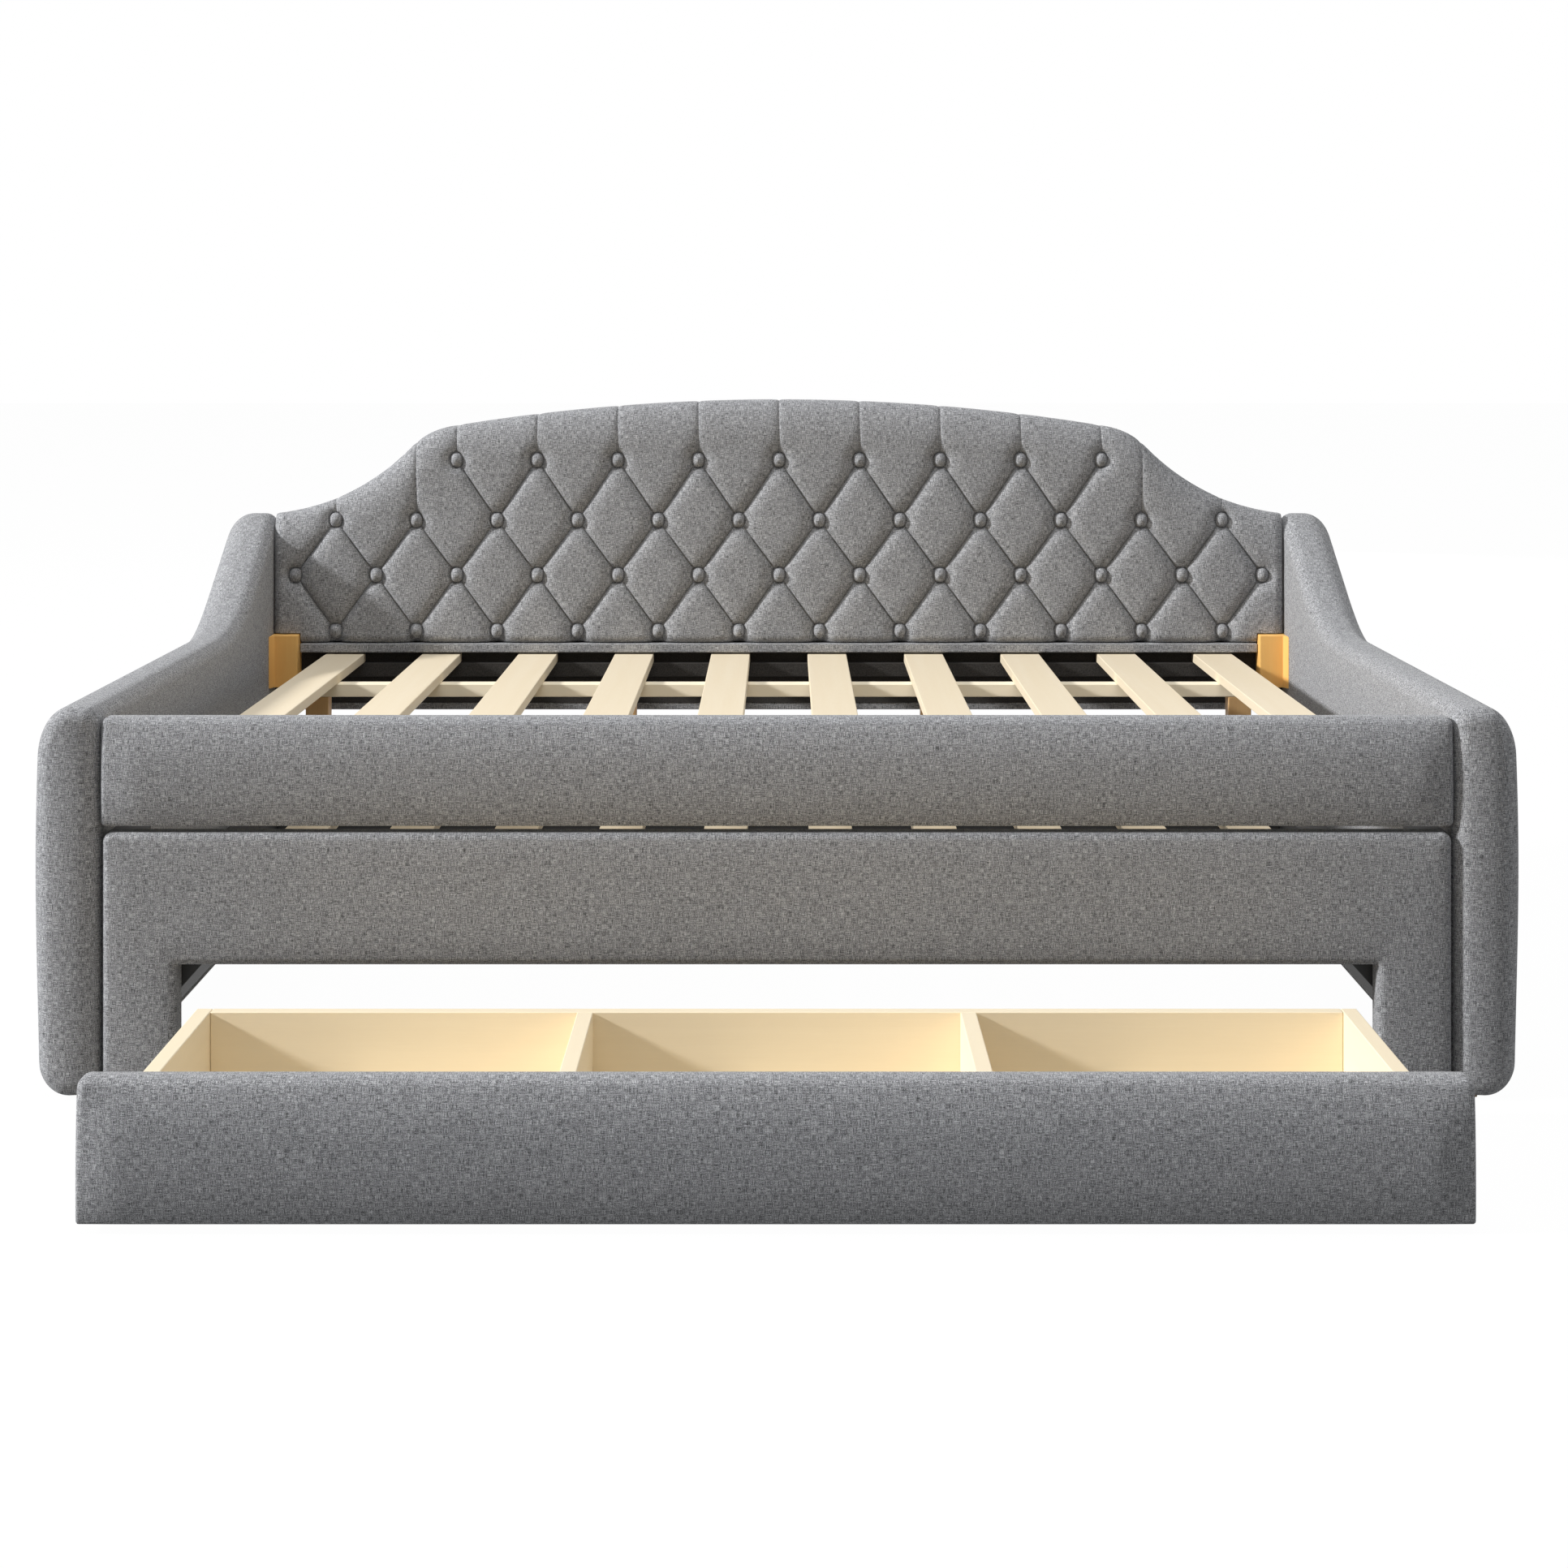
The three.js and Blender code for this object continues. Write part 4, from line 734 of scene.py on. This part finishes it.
def back_pad():
    """The tufted pad, as sections along its length.

    A section goes round the bottom lip, up the face, over the round top edge, down to the rabbet
    that hooks over the back's panel, and down along the panel.
    """
    step = TUFT_HALF / PAD_STEPS
    inner = np.arange(-int(fixed_half / step), int(fixed_half / step) + 1) * step
    beside = np.array([block_low.x - edge for edge in BLOCK_CREASE])
    inner = inner[np.abs(np.abs(inner) - beside.mean()) > (BLOCK_CREASE[1] - BLOCK_CREASE[0]) / 2]
    x = np.sort(np.concatenate([[-fixed_half], -beside, inner, beside, [fixed_half]]))[:, None]
    seams = np.array([line[0] for line in folds() if line[4]])
    notch = SEAM_NOTCH * np.exp(-np.abs(x - seams) / SEAM_NOTCH_WIDTH).sum(1, keepdims=True)
    edge = camel_top(x)
    start = PAD_BOTTOM + PAD_LIP[1]
    shoulder = edge - PAD_ROLL[1]
    share = np.linspace(0, 1, PAD_ROWS)
    turn = np.linspace(0, pi / 2, PAD_ROLL_STEPS)[1:]
    face_z = np.concatenate([
        start + (shoulder - start) * share,
        shoulder + (edge - shoulder) * np.sin(turn),
    ], 1)
    face_y = pad_face(np.broadcast_to(x, face_z.shape), face_z)
    face_z = face_z - notch * smooth_step(face_z, shoulder, edge)
    lip = np.linspace(0, pi / 2, PAD_LIP_STEPS)[:-1]
    lip_y = face_y[:, :1] + PAD_LIP[0] * (1 - np.sin(lip))
    lip_z = start - PAD_LIP[1] * np.cos(lip)
    rear = np.linspace(0, pi / 2, PAD_REAR_STEPS)
    rear_y = arm_back - PAD_REAR_RADIUS * (1 - np.sin(rear))
    rear_z = edge - notch - PAD_REAR_RADIUS * (1 - np.cos(rear))
    rabbet = camel_top(x, BACK_TOP_PAD - SEAT)
    panel = arm_back - BACK_PANEL - SEAT
    last_y = np.array([[arm_back, panel, panel]])
    last_z = np.concatenate([rabbet, rabbet, PAD_BOTTOM + 0 * x], 1)
    rear_y = np.broadcast_to(rear_y, rear_z.shape)
    y = np.concatenate([lip_y, face_y, rear_y, np.broadcast_to(last_y, last_z.shape)], 1)
    z = np.concatenate([np.broadcast_to(lip_z, lip_y.shape), face_z, rear_z, last_z], 1)
    rings = np.stack([np.broadcast_to(x, y.shape), y, z], -1)
    stands_for(ring_solid("tufted_back", rings, linen), "back_pad", "daybed")


def button_domes():
    """Cloth-covered buttons: domes on a squared ellipse, flattened on top, as one piece."""
    turns, rows = BUTTON_STEPS
    around = np.linspace(0, 2 * pi, turns, endpoint=False)
    cos, sin = np.cos(around), np.sin(around)
    squared = (np.abs(cos) ** BUTTON_SQUARE + np.abs(sin) ** BUTTON_SQUARE) ** (-1 / BUTTON_SQUARE)
    up = np.linspace(0, 1, rows)
    reach = np.sqrt(np.clip(1 - up**BUTTON_FLATNESS, BUTTON_TOP**2, 1))
    points, faces = [], []
    for _, _, bx, bz in buttons():
        base = pad_face(np.array([[bx]]), np.array([[bz]])).item() - CREASE_DEPTH
        x = bx + BUTTON_HALF[0] * reach[:, None] * cos * squared
        z = bz + BUTTON_HALF[1] * reach[:, None] * sin * squared
        rise = (BUTTON_RISE + BUTTON_SUNK) * np.broadcast_to(up[:, None], x.shape)
        y = base + BUTTON_SUNK - rise
        offset = len(points) * rows * turns
        points.append(np.stack([x, y, z], -1).reshape(-1, 3))
        faces += (rings_faces(rows, turns) + offset).tolist()
        faces.append((offset + (rows - 1) * turns + np.arange(turns)).tolist())
        faces.append((offset + np.arange(turns)[::-1]).tolist())
    mesh = bpy.data.meshes.new("back_buttons")
    mesh.from_pydata(np.concatenate(points).tolist(), [], faces)
    piece = finish_piece(mesh, linen)
    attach(piece, "daybed")


# ---------- Padded fronts ----------
def front_ring(half, low, high, corner, opening):
    """Outline of a padded front over an arch, as points: round corners all the way round.

    The opening is half its width, the height of its top and the radius of its upper corners.
    """
    arcs = [
        (half - corner, high - corner, corner, 0, 1),
        (-half + corner, high - corner, corner, 1, 1),
        (-half + corner, low + corner, corner, 2, 1),
    ]
    gap, top, turn = opening
    arcs += [
        (-gap - corner, low + corner, corner, 3, 1),
        (-gap + turn, top - turn, turn, 2, -1),
        (gap - turn, top - turn, turn, 1, -1),
        (gap + corner, low + corner, corner, 2, 1),
        (half - corner, low + corner, corner, 3, 1),
    ]
    steps = np.linspace(0, 1, RING_CORNER_STEPS)
    pieces = []
    for cx, cz, radius, start, way in arcs:
        turn = (start + way * steps) * pi / 2
        pieces.append(np.stack([cx + radius * np.cos(turn), cz + radius * np.sin(turn)], 1))
    return np.concatenate(pieces)


def crowned_front(name, body, crown, edges, reach):
    """A padded board as sections along its length, with a crown between its top and bottom edges.

    The face lies back by the crown times a power of t, where t runs from -1 to 1 up the face. At
    the ends this fades into an even setback. Behind, the cover wraps round the edges of its board,
    which lies in a pocket.
    """
    low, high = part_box(name + "_cover")
    half, thickness = high.x + reach[2], high.y - low.y
    bottom, top = low.z - reach[0], high.z + reach[1]
    middle, rise = (top + bottom) / 2, (top - bottom) / 2
    proud, top_crown, bottom_crown = crown
    top_radius, bottom_radius, top_corner, bottom_corner = edges
    turn = np.linspace(0, pi / 2, EDGE_STEPS)
    corners = [corner * (1 - np.cos(turn)) for corner in (top_corner, bottom_corner)]
    wrap = [FRONT_WRAP - SEAT, FRONT_WRAP]
    end = np.concatenate([*corners, wrap, np.linspace(top_corner, END_CROWN[1], END_STEPS)])
    end = np.unique(np.round(end / MM, 2)) * MM  # no two sections nearly meet
    inner = np.linspace(half - END_CROWN[1], -half + END_CROWN[1], LENGTH_STEPS)[1:-1]
    x = np.concatenate([half - end, inner, end[::-1] - half])[:, None]
    d = half - np.abs(x)
    ceiling = rise - set_back(top_corner, d)
    floor = -rise + set_back(bottom_corner, d)
    arc = 1 - np.cos(turn)
    up = np.linspace(0, 1, FACE_STEPS)[1:-1]
    first, last = floor + bottom_radius, ceiling - top_radius
    z = np.concatenate([
        floor + bottom_radius * arc,
        first + (last - first) * up,
        ceiling - top_radius * arc[::-1],
    ], 1)

    def inside(height):
        """Distance in from the rounded outline."""
        away = np.broadcast_to(d, height.shape)
        corner = np.where(height > 0, top_corner, bottom_corner)
        deep = rise - np.abs(height)
        cornered = corner - np.hypot(corner - away, corner - deep)
        return np.where((away < corner) & (deep < corner), cornered, np.minimum(away, deep))

    fade = smooth_step(d, -END_CROWN[1] / 2, END_CROWN[1])
    fall = np.where(z > 0, top_crown, bottom_crown) * np.abs(z / rise) ** CROWN_POWER
    fall = fall * fade + END_CROWN[0] * (1 - fade)
    share = (z / rise + 1) / 2
    y = set_back(bottom_radius + (top_radius - bottom_radius) * share, inside(z)) + fall - proud
    turn = np.linspace(0, pi / 2, REAR_STEPS)
    rear = np.append(REAR_RADIUS * (1 - np.cos(turn)), FRONT_WRAP)
    sides = []
    for edge, way in ((ceiling, 1), (floor, -1)):
        back_z = edge - way * rear
        back_y = thickness - set_back(REAR_RADIUS, inside(back_z))
        pocket_y = np.where(d > FRONT_WRAP - SEAT / 2, thickness - FRONT_POCKET, back_y[:, -1:])
        sides.append((np.concatenate([back_y, pocket_y], 1),
                      np.concatenate([back_z, back_z[:, -1:]], 1)))
    (upper_y, upper_z), (lower_y, lower_z) = sides
    y = low.y + np.concatenate([y, upper_y, lower_y[:, ::-1]], 1)
    z = middle + np.concatenate([z, upper_z, lower_z[:, ::-1]], 1)
    rings = np.stack([np.broadcast_to(x, z.shape), y, z], -1)
    upholstered(name, rings, body)


def arched_front(name, body, crown):
    """A padded front over an arch: rings of its outline step in over the round edge and the crown.

    Behind, the cover wraps round the edges of its board, which lies in a pocket.
    """
    low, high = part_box(name + "_cover")
    half, thickness = high.x, high.y - low.y
    inset, lie = edge_profile(FRONT_RADIUS, *crown, EDGE_STEPS, TRUNDLE_CROWN_STEPS)
    lie = lie - lie.min()

    def ring(step, y):
        """The outline stepped in, at that depth."""
        corner = max(FRONT_CORNER - step, SHARPEST)
        opening = (half - ARCH_LEG + step, ARCH_TOP + step, ARCH_CORNER + step)
        top = high.z + TRUNDLE_RISE - step
        outline = front_ring(half - step, low.z + step, top, corner, opening)
        return np.insert(outline, 1, low.y + y, axis=1)

    rings = [ring(i, y) for i, y in zip(inset[::-1], lie[::-1])]
    turn = np.linspace(0, pi / 2, REAR_STEPS)
    rear = zip(REAR_RADIUS * (1 - np.cos(turn)), thickness - REAR_RADIUS * (1 - np.sin(turn)))
    rings += [ring(step, y) for step, y in rear]
    rings += [ring(FRONT_WRAP, thickness), ring(FRONT_WRAP, thickness - FRONT_POCKET)]
    upholstered(name, np.array(rings), body)


# ---------- Boards and metalwork ----------
def ease_edges(piece, width):
    """Sharp edges become narrow rounds."""
    rounding = piece.modifiers.new("eased_edges", "BEVEL")
    rounding.width = width
    rounding.segments = 2
    rounding.limit_method = "ANGLE"
    rounding.angle_limit = EASED_ANGLE
    rounding.harden_normals = True
    rounding.use_clamp_overlap = True


def eased_copy(node, material, ease):
    """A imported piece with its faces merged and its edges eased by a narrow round."""
    work = bmesh.new()
    work.from_mesh(frame["nodes"][node].data)
    bmesh.ops.remove_doubles(work, verts=work.verts, dist=MERGE_DISTANCE)
    bmesh.ops.dissolve_limit(work, angle_limit=MERGE_ANGLE, verts=work.verts, edges=work.edges)
    work.verts.index_update()
    points = [tuple(v.co) for v in work.verts]
    faces = [[v.index for v in f.verts] for f in work.faces]
    work.free()
    mesh = bpy.data.meshes.new(node + "_eased")
    mesh.from_pydata(points, [], faces)
    piece = finish_piece(mesh, material)
    ease_edges(piece, ease)
    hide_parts(node)
    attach(piece, frame["nodes"][node]["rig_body"])


def caster_wheel(node):
    """A wheel turned about its axle: bored hub, recessed web, and a tread with round shoulders."""
    low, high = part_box(node)
    centre = (np.array(low) + np.array(high)) / 2
    radius, half = (high.z - low.z) / 2, (high.x - low.x) / 2
    hub, rim, web = WHEEL_HUB, radius - WHEEL_TREAD, half - WHEEL_RECESS
    bevel = half - WHEEL_CHAMFER
    side = [
        (WHEEL_BORE, half), (hub - WHEEL_CHAMFER, half), (hub, bevel), (hub + WHEEL_DRAFT, web),
        (rim - WHEEL_DRAFT, web), (rim, bevel), (rim + WHEEL_CHAMFER, half),
    ]
    edge = WHEEL_EDGE
    x, z = quarter(half - edge, radius - edge, edge, edge, 0, WHEEL_EDGE_STEPS)
    side += list(zip(z, x))
    profile = np.array(side + [(r, -a) for r, a in side[::-1]])
    columns = len(profile)
    around = np.linspace(0, 2 * pi, WHEEL_STEPS, endpoint=False)[:, None]
    x = np.broadcast_to(profile[:, 1], (WHEEL_STEPS, columns))
    y = profile[:, 0] * np.cos(around)
    z = profile[:, 0] * np.sin(around)
    rings = np.stack([x, y, z], -1) + centre
    quads = rings_faces(WHEEL_STEPS + 1, columns) % (WHEEL_STEPS * columns)
    mesh = bpy.data.meshes.new(node + "_turned")
    mesh.from_pydata(rings.reshape(-1, 3).tolist(), [], quads.tolist())
    work = bmesh.new()
    work.from_mesh(mesh)
    bmesh.ops.recalc_face_normals(work, faces=work.faces)
    work.to_mesh(mesh)
    work.free()
    piece = finish_piece(mesh, caster_nylon)
    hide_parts(node)
    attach(piece, node)


def boxes(name, lows, highs, material, ease):
    """Several plain boards as one piece, each with eased edges."""
    corner = np.array([[i, j, k] for i in (0, 1) for j in (0, 1) for k in (0, 1)])
    faces = np.array([
        [0, 1, 3, 2], [4, 6, 7, 5], [0, 4, 5, 1], [2, 3, 7, 6], [0, 2, 6, 4], [1, 5, 7, 3],
    ])
    lows, highs = np.array(lows)[:, None], np.array(highs)[:, None]
    points = lows + (highs - lows) * corner
    faces = faces + 8 * np.arange(len(points))[:, None, None]
    mesh = bpy.data.meshes.new(name)
    mesh.from_pydata(points.reshape(-1, 3).tolist(), [], faces.reshape(-1, 4).tolist())
    piece = finish_piece(mesh, material)
    ease_edges(piece, ease)
    return piece


def lower_strip():
    """The cloth-wrapped strip between the corner blocks, which holds the pad's bottom edge."""
    low = (-block_low.x + 2 * SEAT, back_face - STRIP_PROUD, STRIP_BOTTOM)
    high = (block_low.x - 2 * SEAT, back_face - SEAT, STRIP_TOP)
    piece = boxes("pad_strip", [low], [high], linen, STRIP_EASE)
    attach(piece, "daybed")


def trundle_slats():
    """The trundle's slats, and the two webbing straps stapled across them."""
    low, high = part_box("trundle_slat_roll")
    middle = np.linspace(low.x + SLAT_WIDTH / 2, high.x - SLAT_WIDTH / 2, SLAT_COUNT)
    slat_top = low.z + SLAT_THICKNESS
    lows = [(x - SLAT_WIDTH / 2, low.y, low.z) for x in middle]
    highs = [(x + SLAT_WIDTH / 2, high.y, slat_top) for x in middle]
    slats = boxes("trundle_slats", lows, highs, slat_wood, BOARD_EASE)
    half_strap = STRAP_WIDTH / 2
    reach = middle[-1] + half_strap
    bottom, top = slat_top - STRAP_SPAN[0], slat_top + STRAP_SPAN[1]
    lows = [(-reach, low.y + at - half_strap, bottom) for at in STRAP_PLACES]
    highs = [(reach, low.y + at + half_strap, top) for at in STRAP_PLACES]
    straps = boxes("trundle_straps", lows, highs, strap_webbing, STRAP_EASE)
    for piece in (slats, straps):
        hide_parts("trundle_slat_roll")
        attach(piece, "trundle")


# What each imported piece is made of, by a part of its name: the first that fits counts.
SURFACES = {
    # The trundle's boards and the gussets take near-black painted shade, for the dark under the
    # bed.
    "trundle_front_board": black_paint, "trundle_left_side": black_paint,
    "trundle_right_side": black_paint, "trundle_back_board": black_paint, "gusset": black_paint,
    "arm_core": core_wood_deep, "back_board": linen, "back_lining": dust_cloth,
    "front_rail_board": core_wood, "front_ledger": core_wood, "rear_ledger": dust_cloth,
    "support_beam": beam_wood, "beam_leg": leg_wood, "slat_": slat_wood,
    "corner_block": block_wood, "drawer_front_board": drawer_wood,
    "drawer_left_side": drawer_wood_deep, "drawer_right_side": drawer_wood_deep,
    "drawer_back": drawer_wood, "drawer_bottom": drawer_wood,
    "drawer_divider": drawer_wood_deep, "fork": caster_steel,
}

arm_cover(-1)
arm_cover(1)
back_pad()
button_domes()
lower_strip()
crowned_front("front_rail", "daybed", RAIL_CROWN, RAIL_EDGES, RAIL_SPAN)
arched_front("trundle_front", "trundle", TRUNDLE_CROWN)
crowned_front("drawer_front", "drawer", DRAWER_CROWN, DRAWER_EDGES, DRAWER_SPAN)
trundle_slats()
for packed_name, packed in frame["nodes"].items():
    if packed.hide_render:
        continue
    if packed_name.endswith("_wheel"):
        caster_wheel(packed_name)
    else:
        surface = next(made for key, made in SURFACES.items() if key in packed_name)
        eased_copy(packed_name, surface, METAL_EASE if surface is caster_steel else BOARD_EASE)


# ---------- Light, floor and camera ----------
def add_light(name, place, size, power):
    """A square soft light that faces the bed."""
    light = bpy.data.lights.new(name, "AREA")
    light.shape = "SQUARE"
    light.size = size
    light.energy = power
    lamp = bpy.data.objects.new(name, light)
    lamp.location = place
    lamp.rotation_euler = (Vector(LIGHT_AIM) - Vector(place)).to_track_quat("-Z", "Y").to_euler()
    bpy.context.scene.collection.objects.link(lamp)


def seen_directly(tree):
    """1 for rays that come straight from the camera or through a reflection, otherwise 0."""
    path = add_node(tree, "ShaderNodeLightPath").outputs
    seen = maths(tree, "ADD", path["Is Camera Ray"], path["Is Glossy Ray"])
    return maths(tree, "MINIMUM", maths(tree, "ADD", seen, path["Is Transmission Ray"]), 1.0)


def white_room():
    """Soft light from all round, which looks pure white where it is seen."""
    world = bpy.data.worlds.new("room")
    bpy.context.scene.world = world
    world.use_nodes = True
    tree = world.node_tree
    tree.nodes.clear()
    strength = span(tree, seen_directly(tree), 0, 1, ROOM_STRENGTH, 1.0)
    room = add_node(tree, "ShaderNodeBackground", {"Color": (1, 1, 1, 1), "Strength": strength})
    add_node(tree, "ShaderNodeOutputWorld", {"Surface": room.outputs[0]})


def white_floor():
    """A floor that is white where it is seen, under a faint shadow of the bed."""
    material = bpy.data.materials.new("studio_floor")
    material.use_nodes = True
    tree = material.node_tree
    tree.nodes.clear()
    tone = (FLOOR_TONE, FLOOR_TONE, FLOOR_TONE, 1)
    matt = add_node(tree, "ShaderNodeBsdfDiffuse", {"Color": tone}).outputs[0]
    glow = add_node(tree, "ShaderNodeEmission", {"Strength": FLOOR_SEEN}).outputs[0]
    share = maths(tree, "MULTIPLY", seen_directly(tree), FLOOR_GLOW)
    mixed = add_node(tree, "ShaderNodeMixShader", {0: share, 1: matt, 2: glow}).outputs[0]
    add_node(tree, "ShaderNodeOutputMaterial", {"Surface": mixed})
    mesh = bpy.data.meshes.new("floor")
    signs = ((-1, -1), (1, -1), (1, 1), (-1, 1))
    mesh.from_pydata([(x * FLOOR_REACH, y * FLOOR_REACH, 0) for x, y in signs], [], [(0, 1, 2, 3)])
    mesh.materials.append(material)
    floor = bpy.data.objects.new("floor", mesh)
    bpy.context.scene.collection.objects.link(floor)


white_room()
white_floor()
for title, (place, size, power) in LIGHTS.items():
    add_light(title, place, size, power)

bpy.context.scene.view_settings.view_transform = "Standard"
lens = bpy.data.cameras.new("camera")
lens.lens = CAMERA_LENS
lens.shift_y = CAMERA_SHIFT
camera = bpy.data.objects.new("camera", lens)
camera.location = CAMERA_PLACE
camera.rotation_euler = (pi / 2, 0, 0)
bpy.context.scene.collection.objects.link(camera)
bpy.context.scene.camera = camera
